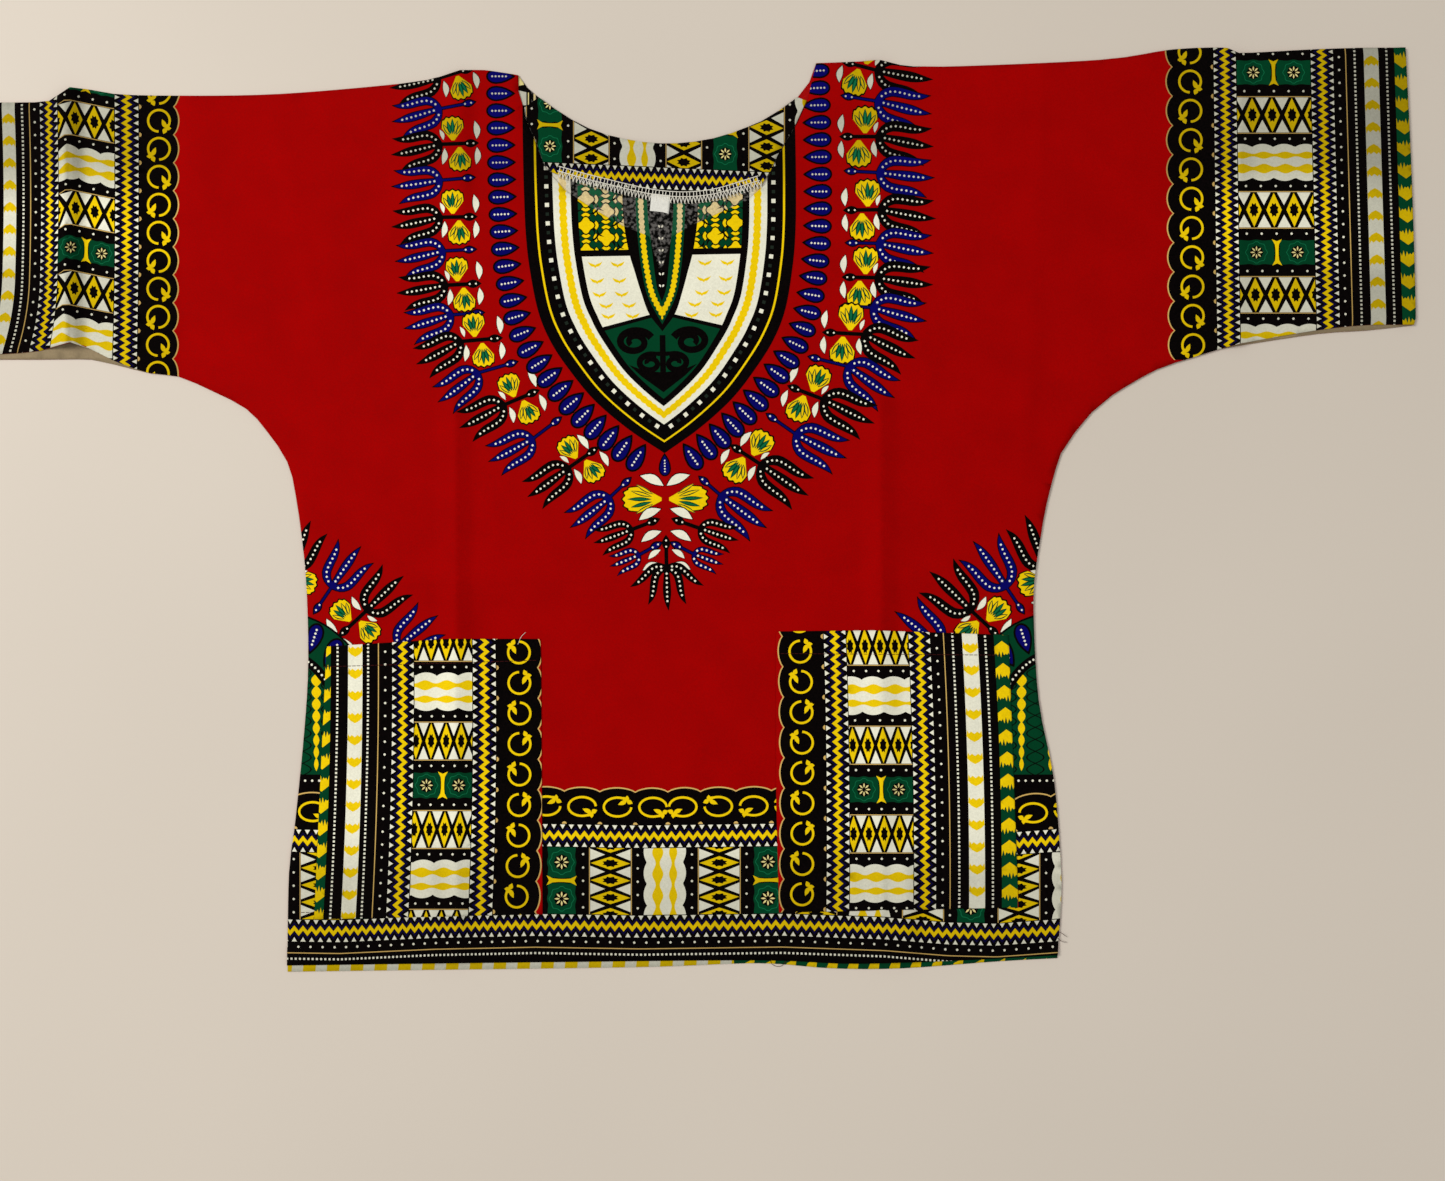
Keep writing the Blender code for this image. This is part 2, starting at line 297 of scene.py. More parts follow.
def flower(long=15.6, wide=14.6):
    """A frilled bell with green veins."""
    shapes = [("black", bell(long, wide)), ("yellow", bell(long - 1.0, wide - 1.2))]
    for number, turn in enumerate((-0.52, -0.26, 0.0, 0.26, 0.52)):
        reach = (0.58 - 0.22 * abs(turn)) * long
        start = 0.24 * long
        at = start * math.cos(turn), start * math.sin(turn)
        shapes.append(("green", leaf(reach + 0.9, 2.5, *at, turn, 0.0, 7)))
        inner = leaf(reach - 0.6, 1.2, at[0] + 0.75 * math.cos(turn), at[1] + 0.75 * math.sin(turn),
                     turn, 0.0, 7)
        shapes.append(("leafgreen" if number in (1, 2) else "yellow", inner))
    return shapes


def bell(long, wide):
    """A cup with a frilled rim, from the origin along +x."""
    rim = []
    for a in np.linspace(-1.0, 1.0, 27):
        frill = 0.035 * math.cos(5.5 * math.pi * a)
        reach = long * (0.70 + 0.28 * math.cos(0.5 * math.pi * a) ** 0.8 + frill)
        rim.append((reach * (1.0 - 0.25 * a**6), 0.5 * wide * math.sin(0.5 * math.pi * a)))
    side = 0.30 * wide
    return [(0.0, -0.9), (0.28 * long, -side), *rim, (0.28 * long, side), (0.0, 0.9)]


def white_leaf(bend=1.0):
    return [("black", leaf(11.8, 4.7, -0.5, 0.0, 0.0, bend)),
            ("white", leaf(10.6, 3.8, 0.1, 0.0, 0.0, bend))]


# The yoke, half of it, as (half width mm, height mm) from the shoulder down to its point

YOKE_SIDE = [
    (79.0, 265.0), (79.5, 235.0), (79.6, 205.0), (79.4, 184.0), (78.8, 163.0), (77.0, 143.0),
    (72.3, 117.0), (65.0, 98.6), (54.0, 81.6), (39.8, 64.0), (20.6, 47.2), (0.0, 33.0),
]
YOKE_PATH = smooth_path(YOKE_SIDE, 3.0)
YOKE_TAPER = 0.18          # how much narrower the yoke's rings are at its point
# How far inside the yoke's edge each ring of its border starts, with its dye
YOKE_RINGS = [
    (0.0, "black"), (6.4, "yellow"), (7.6, "black"), (16.8, "white"), (27.2, "black"),
]
YOKE_INSIDE = 31.2


def yoke_side(inset, path=YOKE_PATH, wave=0.0, pitch=3.0, taper=YOKE_TAPER):
    """The right side at an inset, cut off at the middle line. The outside is on the left of
    the path, so an inset moves it to the right."""
    lengths = np.concatenate([[0.0], np.cumsum(np.linalg.norm(np.diff(path, axis=0), axis=1))])
    depth = inset + wave * np.abs(np.sin(math.pi * lengths / pitch))
    depth *= 1.0 - taper * np.clip((100.0 - path[:, 1]) / 66.0, 0.0, 1.0)
    moved = path - normals_of(path) * depth[:, None]
    kept = [moved[0]]
    for a, b in zip(moved, moved[1:]):
        if b[0] <= 0.0:
            share = a[0] / (a[0] - b[0]) if a[0] != b[0] else 0.0
            kept.append(a + (b - a) * share)
            break
        kept.append(b)
    return [(float(x), float(y)) for x, y in kept]


def yoke_shape(inset, **how):
    right = yoke_side(inset, **how)
    left = [(-x, y) for x, y in right[-2::-1]]
    return [lay(x, y) for x, y in right + left]


def yoke(target):
    """The pointed yoke: ringed border, a tongue, two pairs of side panels and a point."""
    for inset, dye in YOKE_RINGS:
        target.add(dye, yoke_shape(inset))
    fine = smooth_path(YOKE_SIDE, 0.75)
    target.add("yellow", yoke_shape(20.8, path=fine, wave=-0.7, pitch=4.2))
    target.add("white", yoke_shape(24.1, path=fine, wave=0.7, pitch=4.2))
    target.add("black", yoke_shape(27.2))
    dashes = stations(np.array(yoke_side(13.2)), 5.35, 18.0, 2.2)
    for number, ((x, y), (nx, ny)) in enumerate(dashes):
        half = 0.95 if number % 2 else 1.2
        for side in (1, -1):
            stamp(target, [("smoke" if number % 2 else "white", box(-half, -half, half, half))],
                  spot(x, y, math.atan2(ny, nx), 1, side))
    inside = target.add("black", yoke_shape(YOKE_INSIDE))
    for side in (1, -1):
        upper_panel(target, side, inside)
        lower_panel(target, side, inside)
    yoke_point(target, inside)
    tongue(target, inside)


def upper_panel(target, side, inside):
    """Green with yellow quatrefoils in a brick layout, each with four small caps."""
    corners = [(19.0, 152.2), (54.0, 152.2), (54.0, 194.0), (22.4, 194.0)]
    area = [lay(side * x, y) for x, y in corners]
    ground = target.add("green", area, inside)
    for column in range(3):
        x = 20.2 + 11.7 * column
        for row in range(-1, 3):
            y = 159.4 + 15.5 * row + (0.0 if column % 2 else 7.4)
            for way in range(4):
                turn = 0.5 * math.pi * way
                c, s = math.cos(turn), math.sin(turn)
                swirl = leaf(6.6, 1.1, 6.6 * c - 1.6 * s, 6.6 * s + 1.6 * c, turn + 0.9, 1.6, 9)
                stamp(target, [("black", swirl)], spot(x, y, 0.0, 1.0, side), ground)
            for way in range(4):
                turn = 0.5 * math.pi * way
                cap = [("black", leaf(6.4, 3.9, -3.2, 0.3)), ("yellow", leaf(5.2, 2.8, -2.6, 0.4))]
                place = spot(x + 5.6 * math.cos(turn), y + 5.6 * math.sin(turn), turn - math.pi / 2,
                             1.0, side)
                stamp(target, cap, place, ground)
            stamp(target, [("black", blossom(4.9, 4, 0.16, 28)), ("yellow", blossom(4.2, 4, 0.17, 28))],
                  spot(x, y, 0.0, 1.0, side), ground)


# Rows of small birds' wings on the lower panels: x of the inner and outer one, and their height
WING_ROWS = [(25.5, 38.6, 143.0), (24.6, 37.6, 133.6), (23.4, 36.4, 125.6), (19.2, 32.6, 119.0),
             (17.2, 31.4, 112.8)]


def lower_panel(target, side, inside):
    """White with rows of small yellow wings."""
    corners = [(16.0, 148.6), (5.0, 114.6), (34.0, 107.4), (62.0, 100.0), (62.0, 148.6)]
    ground = target.add("white", [lay(side * x, y) for x, y in corners], inside)
    wings = [("yellow", leaf(4.9, 1.7, 0.0, 0.0, math.pi * 0.17, -0.5, 9, 0.3)),
             ("yellow", leaf(4.9, 1.7, 0.0, 0.0, math.pi * 0.83, 0.5, 9, 0.3)),
             ("yellow", [(-1.5, 0.5), (0.0, -1.3), (1.5, 0.5)])]
    for inner, outer, y in WING_ROWS:
        for x in (inner, outer):
            stamp(target, wings, spot(x, y, 0.0, 1.0, side), ground)


# Scrolls on the yoke's point, right side: centre, half width and height, the degrees where each
# starts, its turns and its band's width
SCROLLS = [(16.4, 98.2, 10.5, 7.2, 160, 1.55, 4.5), (7.4, 85.6, 7.6, 5.4, 120, 1.35, 3.8)]


def scroll(x, y, wide, tall, start, turns, thick):
    """A spiral band that winds in clockwise towards (x, y), in four lengths."""
    shares = np.linspace(0.0, 1.0, 37)
    path = []
    for t in shares:
        a = math.radians(start) - 2 * math.pi * turns * t
        path.append((x + wide * (1.0 - 0.74 * t) * math.cos(a), y + tall * (1.0 - 0.66 * t) * math.sin(a)))
    halves = [0.5 * thick * (1.0 - 0.30 * t) for t in shares]
    return [("black", stroke(path[i:i + 12], halves[i:i + 12])) for i in range(0, 36, 9)]


def yoke_point(target, inside):
    """Green, with two pairs of black scrolls beside a stem, over a black foot."""
    corners = [(0.0, 113.6), (7.0, 112.0), (34.0, 105.0), (52.0, 100.0), (52.0, 50.0), (-52.0, 50.0),
               (-52.0, 100.0), (-34.0, 105.0), (-7.0, 112.0)]
    ground = target.add("green", [lay(x, y) for x, y in corners], inside)
    foot = [(-20.0, 85.0), (-12.6, 78.0), (0.0, 68.6), (12.6, 78.0), (20.0, 85.0), (11.0, 81.4),
            (0.0, 80.2), (-11.0, 81.4)]
    target.add("black", [lay(x, y) for x, y in foot], ground)
    for side in (1, -1):
        for row in SCROLLS:
            stamp(target, scroll(*row), spot(0.0, 0.0, 0.0, 1.0, side), ground)
    target.add("black", [lay(x, y) for x, y in box(-1.7, 79.0, 1.7, 102.0)], ground)
    target.add("black", [lay(x, y) for x, y in ((-7.0, 92.4), (7.0, 92.4), (3.0, 89.8), (-3.0, 89.8))],
               ground)


TONGUE_SIDE = [(15.4, 200.0), (15.0, 172.0), (13.9, 155.0), (12.2, 140.0), (8.8, 124.0), (0.0, 106.5)]
# The black round the tongue, and its black heart
TONGUE_OUTSIDE = [(22.2, 200.0), (21.8, 172.0), (19.0, 152.0), (15.3, 138.4), (12.5, 128.7),
                  (7.7, 114.7), (0.0, 104.2)]
TONGUE_HEART = [(8.4, 200.0), (7.4, 172.0), (5.6, 155.0), (4.2, 141.0), (2.6, 129.0), (0.0, 121.5)]


def tongue(target, inside):
    """A hanging tongue below the notch: green with a toothed yellow braid round a black heart."""
    path = smooth_path(TONGUE_SIDE, 0.75)

    def shape(inset, wave=0.0):
        right = yoke_side(inset, path=path, wave=wave, pitch=3.0, taper=0.0)
        return mirrored(right)

    def mirrored(right):
        return [lay(x, y) for x, y in [*right, *[(-x, y) for x, y in right[-2::-1]]]]

    target.add("black", mirrored([tuple(p) for p in smooth_path(TONGUE_OUTSIDE, 3.0)]), inside)
    target.add("green", shape(0.8), inside)
    target.add("yellow", shape(2.9, -1.0), inside)
    target.add("green", shape(4.7, 0.8), inside)
    heart = target.add("black", mirrored([tuple(p) for p in smooth_path(TONGUE_HEART, 3.0)]), inside)
    for i in range(6):
        stamp(target, [("white", leaf(1.9, 1.1, 0.4, 0.0, math.pi / 3)),
                       ("white", leaf(1.9, 1.1, -0.4, 0.0, math.pi * 2 / 3))],
              spot(0.0, 130.0 + 7.0 * i), heart)


def petals(target):
    """Drops set square to the yoke's edge all round it, larger near its point."""
    path = YOKE_PATH + normals_of(YOKE_PATH) * PETAL_MIDDLE
    for (x, y), (nx, ny) in stations(path, 10.15, -4.6, 7.0):
        low = min(max((105.0 - y) / 40.0, 0.0), 1.0)
        size = 1.0 + 0.10 * low
        inwards = PETAL_MIDDLE + 3.3 * low
        foot = x - inwards * nx, y - inwards * ny
        for side in (1, -1):
            stamp(target, petal(), spot(*foot, math.atan2(ny, nx), size, side))
    stamp(target, petal(), spot(0.0, 36.4, -math.pi / 2, 0.8))


PETAL_MIDDLE = 12.6        # mm outside the yoke's edge

# Sprigs round the yoke: dye, foot (x, y) from the middle line, the stem's way in degrees and its
# length, and the tilt of its leaves
GARLAND = [
    ("black", 108, 260, -16, 22, 4),
    ("navy", 107, 240, -10, 22, -6),
    ("black", 106, 216, -1, 23, -12),
    ("navy", 108, 196, -4, 21, -4),
    ("black", 107.5, 173, 0, 22, -12),
    ("navy", 108, 154, -2, 20, -11),
    ("black", 106, 134, -2, 21, -8),
    ("navy", 104, 117, -3, 20, -14),
    ("black", 94, 102, -4, 25, -24),
    ("navy", 85, 88, -15, 25, -22),
    ("black", 73, 71, -22, 23, -6),
    ("navy", 60, 55, -36, 22, 8),
    ("black", 39, 37, -34, 22, -2),
    ("navy", 20, 19, -42, 18, 4),
]
# White leaves near the garland's tip: foot (x, y), way in degrees, size
TIP_LEAVES = [(0.8, 14.0, 24, 1.4), (2.6, 0.6, -26, 1.35), (2.6, -12.4, -27, 1.25),
              (3.2, -23.2, -36, 0.85), (4.6, -31.0, -24, 0.95)]


def garland(target):
    """Sprigs round the yoke, black and blue by turns, with flowers and leaves on the black."""
    for dye, x, y, way, stem, tilt in GARLAND:
        for side in (1, -1):
            spray(target, dye, x, y, way, stem, tilt, side)
    for side in (1, -1):
        stamp(target, sprig("black", 18.0, 0.0, 0.76), spot(4.0, -5.4, math.radians(-20), 1.0, side))
        stamp(target, sprig("navy", 16.0, 6.0, 0.60), spot(2.6, -19.0, math.radians(-28), 1.0, side))
        stamp(target, flower(23.5, 15.5), spot(2.2, 6.2, 0.02, 1.0, side))
        for x, y, way, size in TIP_LEAVES:
            stamp(target, white_leaf(0.8), spot(x, y, math.radians(way), size, side))
    stamp(target, sprig("black", 19.5, 0.0, 0.80, (0.12, 0.75)), spot(0.0, -15.5, -math.pi / 2))


def spray(target, dye, x, y, way, stem, tilt, side, onto=lay):
    """One sprig. A black one carries two flowers and four white leaves. Those on the wearer's
    left are a little larger."""
    way = math.radians(way)
    scale = 1.06 if side > 0 else 0.94
    splay = 0.10 if onto is lay_side else 0.0
    stamp(target, sprig(dye, stem, tilt, scale, (splay,)), spot(x, y, way, 1.0, side, onto))
    if dye != "black":
        return
    for hand, along in ((1, 0.62), (-1, 0.46)):
        at = turned([(along * stem, hand * 2.0)], x, y, way)[0]
        stamp(target, flower(), spot(*at, way + hand * 0.5 * math.pi, scale, side, onto))
    outwards = 0.22 if 0.0 < y < 50.0 else 0.02
    for along, hand, lean, size in ((outwards, 1, 1.50, 1.0), (0.02, -1, 1.50, 0.95),
                                    (0.86, 1, 1.25, 0.62), (0.84, -1, 1.42, 0.9)):
        at = turned([(along * stem, hand * 2.3)], x, y, way)[0]
        stamp(target, white_leaf(0.8 * hand), spot(*at, way + hand * lean, size, side, onto))


# Sprigs round each side seam, as in GARLAND
SIDE_SPRIGS = [
    ("black", 223.5, -52, 105, 20, 4),
    ("navy", 206.5, -60.5, 124, 20, 0),
    ("black", 191.5, -73.5, 137, 23, -2),
    ("navy", 173, -93, 140, 22, 0),
]


def lay_side(x, y):
    """As lay, at the side seams, where the print isn't turned."""
    return LAY_X + 3.8 + 1.004 * x, y


def side_motifs(target):
    """The same garland round a green arch that the side seam cuts in half."""
    for side in (1, -1):
        for dye, x, y, way, stem, tilt in SIDE_SPRIGS:
            spray(target, dye, x, y, way, stem, tilt, side, lay_side)
        arch(target, side)


ARCH_X, ARCH_Y, ARCH_WIDE, ARCH_TALL = 222.0, -154.5, 60.0, 93.0


def arch_shape(side, inset):
    """The arch's outline at an inset, from foot to foot."""
    turns = np.linspace(0.0, math.pi, 40)
    return [lay_side(side * (ARCH_X + (ARCH_WIDE - inset) * math.cos(a)),
                     ARCH_Y + (ARCH_TALL - inset) * math.sin(a)) for a in turns]


def arch(target, side):
    band = box(150.0, -172.0, 245.0, ARCH_Y + 1.0)
    target.add("black", [lay_side(side * x, y) for x, y in band])
    for number in range(22):
        place = spot(150.0 + 4.1 * number, ARCH_Y - 3.6, 0.0, 1.0, side, lay_side)
        stamp(target, [("white", disc(0.75, 6))], place)
    target.add("black", arch_shape(side, -1.2))
    ground = target.add("green", arch_shape(side, 0.0))
    for turn in np.linspace(0.45, 0.975, 8) * math.pi:
        x = ARCH_X + (ARCH_WIDE - 24.0) * math.cos(turn)
        y = ARCH_Y + (ARCH_TALL - 24.0) * math.sin(turn)
        stamp(target, petal(), spot(x, y, turn, 1.12, side, lay_side), ground)
    target.add("black", arch_shape(side, 20.6), ground)
    for turn in np.linspace(0.0, math.pi, 52):
        x = ARCH_X + (ARCH_WIDE - 23.4) * math.cos(turn)
        y = ARCH_Y + (ARCH_TALL - 23.4) * math.sin(turn)
        stamp(target, [("white", disc(0.75, 6))], spot(x, y, 0.0, 1.0, side, lay_side), ground)
    heart = target.add("green", arch_shape(side, 26.4), ground)
    for x in (-9.0, 9.0, -25.0, 25.0):
        for row in range(9):
            y = ARCH_Y + 3.0 + 7.0 * row
            scale = [("black", leaf(7.6, 11.0, -3.8, 0.0)), ("green", leaf(6.4, 9.2, -3.2, 0.0))]
            stamp(target, scale, spot(ARCH_X + x, y, math.pi / 2, 1.0, side, lay_side), heart)
    for x in (-17.0, 0.0, 17.0):
        for row in range(9):
            bead = [("yellow", leaf(8.0, 2.6 + 0.5 * row, -4.0, 0.0))]
            place = spot(ARCH_X + x, ARCH_Y + 6.0 + 7.0 * row, math.pi / 2, 1.0, side, lay_side)
            stamp(target, bead, place, heart)


# Border bands. A band runs along u, and v goes from its scalloped edge towards the cloth's edge.
# The lines give v in mm half way along the band.
LINES = ("scallop", "ring", "zigzag", "cells", "cells_end", "zigzag_end", "dots", "line",
         "squares", "stripe", "stripe_end", "squares_2", "ikat", "ikat_end")
BAND_LINES = {
    "right_cuff": (279.2, 292.0, 305.6, 319.6, 363.1, 377.2, 380.2, 384.2, 389.5, 394.9, 403.6,
                   408.4, 413.0, 422.4),
    "left_cuff": (-300.4, -310.8, -322.2, -336.7, -369.2, -379.8, -382.6, -385.6, -389.8, -394.0,
                  -401.4, -405.5, -410.0, -424.0),
    "right_pocket": (52.6, 64.8, 78.6, 92.5, 129.1, 142.6, 146.0, 150.3, 155.6, 161.3, 170.5,
                     175.0, 180.2, 189.4),
    "left_pocket": (-87.6, -100.2, -113.6, -127.9, -161.9, -175.4, -179.1, -183.1, -189.2, -192.5,
                    -201.0, -207.2, -211.2, -219.6),
    "hem": (80.0, 69.6, 59.4, 45.6, 6.8, -6.8, -9.4, -13.0, -16.4, -23.0, -30.0, -33.0, -36.0,
            -46.0),
}
# How each band runs: its lowest and highest u; the lean of its inner and outer lines in mm from
# bottom to top, and their bows; the u of a green cell's middle, and how far the cells are
# stretched; the u of a ring, the rings' pitch, the turn of their buds, and the scallops' depth;
# the pitch of the teeth; the pitch of the lozenges across the band and the v of one.
RUN = ("low", "high", "lean_in", "lean_out", "bow_in", "bow_out", "green", "stretch", "ring_at",
       "ring_pitch", "turn", "depth", "tooth", "lozenge", "lozenge_at")
BAND_RUNS = {
    "right_cuff": (88.0, 276.0, -1.8, -6.2, 0.0, 0.0, 150.3, 1.0, 250.0, 17.1, 0, 3.6, 4.3, 11.7, 328.4),
    "left_cuff": (80.0, 254.0, 0.6, 2.0, 0.0, 3.6, 148.3, 0.945, 227.1, 16.35, 0, 3.0, 4.4, 11.1, -348.2),
    "right_pocket": (-242.0, -66.0, -0.8, -5.6, 1.0, 1.7, -163.2, 1.043, -65.0, 17.7, 2, 2.6, 5.3, 8.9,
                     103.4),
    "left_pocket": (-244.0, -72.0, 1.5, 5.0, 1.4, 1.4, -160.7, 1.04, -83.2, 17.8, 2, 2.6, 5.3, 8.8,
                    -152.0),
    "hem": (-255.3, 227.1, 0.0, 0.0, 0.0, 0.0, -75.6, 1.147, -13.6, 20.7, 1, 2.4, 5.1, 10.0, 26.7),
}
HEM_LEVEL = [
    (-240.0, -245.5), (-205.0, -246.0), (-150.0, -243.5), (-91.0, -242.3), (-30.0, -243.3),
    (53.0, -242.2), (113.0, -244.3), (150.0, -247.3), (178.0, -248.0), (220.0, -245.0),
]
# The hem's print is pulled along it by this much at both ends, under the pockets
HEM_SHIFT = [(-256.0, 8.4), (-215.0, 8.4), (-95.0, 0.0), (60.0, 0.0), (190.0, -2.5)]
CUFF_FOLD = (-364.6, 5.6, 27.0, 8.0)   # mm: x of the left cuff's fold, lift, reach inwards, outwards
# Where the left cuff's lower edge is pulled: u from which it starts, u and mm at the edge, and the
# v where it starts and where it is full
CUFF_PULL = (134.0, 88.0, 6.5, -345.0, -382.0)
CELLS = [("green", 15.4), ("dotted", 6.4), ("lozenge", 21.4), ("dotted", 6.4), ("waves", 21.2),
         ("dotted", 6.4), ("lozenge", 21.4), ("dotted", 6.4)]
SQUARE_PITCH = {"hem": 2.47}
DOT_PITCH = {"hem": 7.05}
ARROW_PITCH = 12.9


def band_of(name):
    return dict(zip(LINES, BAND_LINES[name])), dict(zip(RUN, BAND_RUNS[name]))


def upright_place(band, run):
    """A place function for an upright band: u is the height, v the distance across."""
    middle = 0.5 * (run["low"] + run["high"])
    span = run["high"] - run["low"]

    def place(u, v):
        share = (v - band["scallop"]) / (band["ikat_end"] - band["scallop"])
        t = (u - middle) / span
        lean = run["lean_in"] + (run["lean_out"] - run["lean_in"]) * share
        x = v + lean * t - (run["bow_in"] + (run["bow_out"] - run["bow_in"]) * share) * 4 * t * t
        fold, lift, inwards, outwards = CUFF_FOLD
        if v < fold + inwards and v < band["cells"]:
            u += lift * max(0.0, 1.0 - abs(v - fold) / (inwards if v > fold else outwards))
        start, end, pull, inner, outer = CUFF_PULL
        if v < inner and u < start:
            x -= pull * min((start - u) / (start - end), 1.2) ** 2 * min((inner - v) / (inner - outer), 1.0)
        return x, u

    return place


def hem_place(u, v):
    """u runs along the hem and v is the height over the lower zigzag's middle."""
    u += float(np.interp(u, *zip(*HEM_SHIFT)))
    return u, float(np.interp(u, *zip(*HEM_LEVEL))) + v


def level(place, points, step=3.5):
    """A shape's points with its long edges divided, so that it follows a curved place."""
    divided = []
    for (u0, v0), (u1, v1) in zip(points, [*points[1:], points[0]]):
        pieces = max(1, round(math.hypot(u1 - u0, v1 - v0) / step))
        for i in range(pieces):
            divided.append(place(u0 + (u1 - u0) * i / pieces, v0 + (v1 - v0) * i / pieces))
    return divided


def ring(wide, tall, bud, hand):
    """A thin ring with a bud on it towards the angle bud, and a gap beside the bud."""
    arc = [bud + hand * a for a in np.linspace(0.1, 5.5, 32)]
    path = [(wide * math.cos(a), tall * math.sin(a)) for a in arc]
    x, y = 0.93 * wide * math.cos(bud), 0.93 * tall * math.sin(bud)
    shapes = [("yellow", stroke(path, [0.68] * 32))]
    for turn, long, thick in ((math.pi - hand * 0.35, 5.6, 2.6), (-hand * 1.15, 3.7, 2.7),
                              (hand * 0.75, 3.2, 2.5), (math.pi - hand * 1.5, 3.4, 2.3)):
        shapes.append(("yellow", leaf(long, thick, x, y, bud + turn, 0.0, 8, 0.42)))
    return shapes


def ring_places(run):
    """(u, bud's angle, hand) of each ring along a band. The hem's mirror each other."""
    pitch, low, high = run["ring_pitch"], run["low"] - 25.0, run["high"] + 25.0
    found = []
    if run["turn"] == 1:
        for number in range(14):
            away = (number + 0.42) * pitch
            angle = (0.24 if number % 2 else -0.24) * math.pi
            found.append((run["ring_at"] - away, angle, 1 if number % 2 else -1))
            found.append((run["ring_at"] + away, math.pi - angle, -1 if number % 2 else 1))
    else:
        start = math.floor((low - run["ring_at"]) / pitch)
        for number in range(start, math.ceil((high - run["ring_at"]) / pitch)):
            angle = (1.26 if number % 2 else 1.74) * math.pi + 0.5 * math.pi * run["turn"]
            found.append((run["ring_at"] + number * pitch, angle, -1 if number % 2 else 1))
    return sorted(row for row in found if low < row[0] < high)


def ring_strip(target, place, band, run):
    """Black with a scalloped edge, a cream line along it, and rings with a bud."""
    scallop, zigzag = band["scallop"], band["zigzag"]
    out = math.copysign(1.0, scallop - zigzag)
    rings = ring_places(run)
    cusps = [0.5 * (a[0] + b[0]) for a, b in zip(rings, rings[1:])]

    def edge(inset):
        points = []
        for a, b in zip(cusps, cusps[1:]):
            for i in range(10):
                bulge = run["depth"] * (abs(math.sin(math.pi * i / 10)) ** 0.7 - 0.5)
                points.append((a + (b - a) * i / 10, scallop + out * (bulge - inset)))
        return points

    ends = [(cusps[-1], zigzag), (cusps[0], zigzag)]
    target.add("cream", level(place, edge(0.0) + ends))
    ground = target.add("black", level(place, edge(0.8) + ends))
    wide, tall = (8.0, 5.5) if run["turn"] == 1 else (6.3, 6.3)
    for u, angle, hand in rings:
        x, y = place(u, band["ring"])
        stamp(target, ring(wide, tall, angle, hand), spot(x, y, onto=flat), ground)
    for u in cusps:
        stamp(target, [("cream", disc(1.4, 10))], spot(*place(u, zigzag), onto=flat), ground)


def flat(x, y):
    return x, y


def zigzag_strip(target, place, u0, u1, v0, v1, tooth):
    """White teeth on both edges, and a yellow zigzag with a dark blue one on each side."""
    ground = target.add("black", level(place, box(u0, v0, u1, v1)))
    wide = v1 - v0
    count = round((u1 - u0) / tooth)
    pitch = (u1 - u0) / count
    for dye, centre, thick in (("ink", 0.70, 0.10), ("ink", 0.30, 0.10), ("yellow", 0.5, 0.22)):
        upper, lower = [], []
        for i in range(2 * count + 1):
            sway = 0.115 * (1 if i % 2 else -1)
            u = u0 + 0.5 * i * pitch
            upper.append((u, v0 + wide * (centre + sway + thick / 2)))
            lower.append((u, v0 + wide * (centre + sway - thick / 2)))
        target.add(dye, [place(*p) for p in lower + upper[::-1]], ground)
    for i in range(count):
        for shift, edge, inwards in ((0.5, v0, 1.0), (1.0, v1, -1.0)):
            u = u0 + (i + shift) * pitch
            foot, tip = edge + 0.035 * inwards * wide, edge + 0.225 * inwards * wide
            tooth_shape = [(u - 0.30 * pitch, foot), (u + 0.30 * pitch, foot), (u, tip)]
            target.add("white", [place(*p) for p in tooth_shape], ground)


def lozenge_cell(target, place, u, long, v0, v1, ground, run):
    """A row of yellow lozenges with a jagged black eye, and white triangles between them."""
    target.add("cream", level(place, box(u - long / 2 - 0.2, v0, u + long / 2 + 0.2, v1)), ground)
    area = target.add("black", level(place, box(u - long / 2 + 0.3, v0, u + long / 2 - 0.3, v1)), ground)
    pitch = run["lozenge"]
    tall = long / 2 - 0.7
    low, high = sorted((v0, v1))
    first = math.floor((low - run["lozenge_at"]) / pitch)
    for i in range(first, first + math.ceil((high - low) / pitch) + 2):
        v = run["lozenge_at"] + i * pitch
        diamond = [(u + a * tall, v + b * 0.385 * pitch) for a, b in ((1, 0), (0, 1), (-1, 0), (0, -1))]
        target.add("yellow", [place(*p) for p in diamond], area)
        eye = []
        for k in range(16):
            r = 1.0 if k % 2 else 0.72
            a = k * math.pi / 8
            eye.append((u + 0.44 * tall * r * math.cos(a), v + 0.24 * pitch * r * math.sin(a)))
        target.add("black", [place(*p) for p in eye], area)
        for side in (1, -1):
            base, tip = u + side * (long / 2 - 0.5), u + side * 0.13 * long
            v_mid = v + 0.5 * pitch
            triangle = [(base, v_mid - 0.34 * pitch), (base, v_mid + 0.34 * pitch), (tip, v_mid)]
            target.add("white", [place(*p) for p in triangle], area)


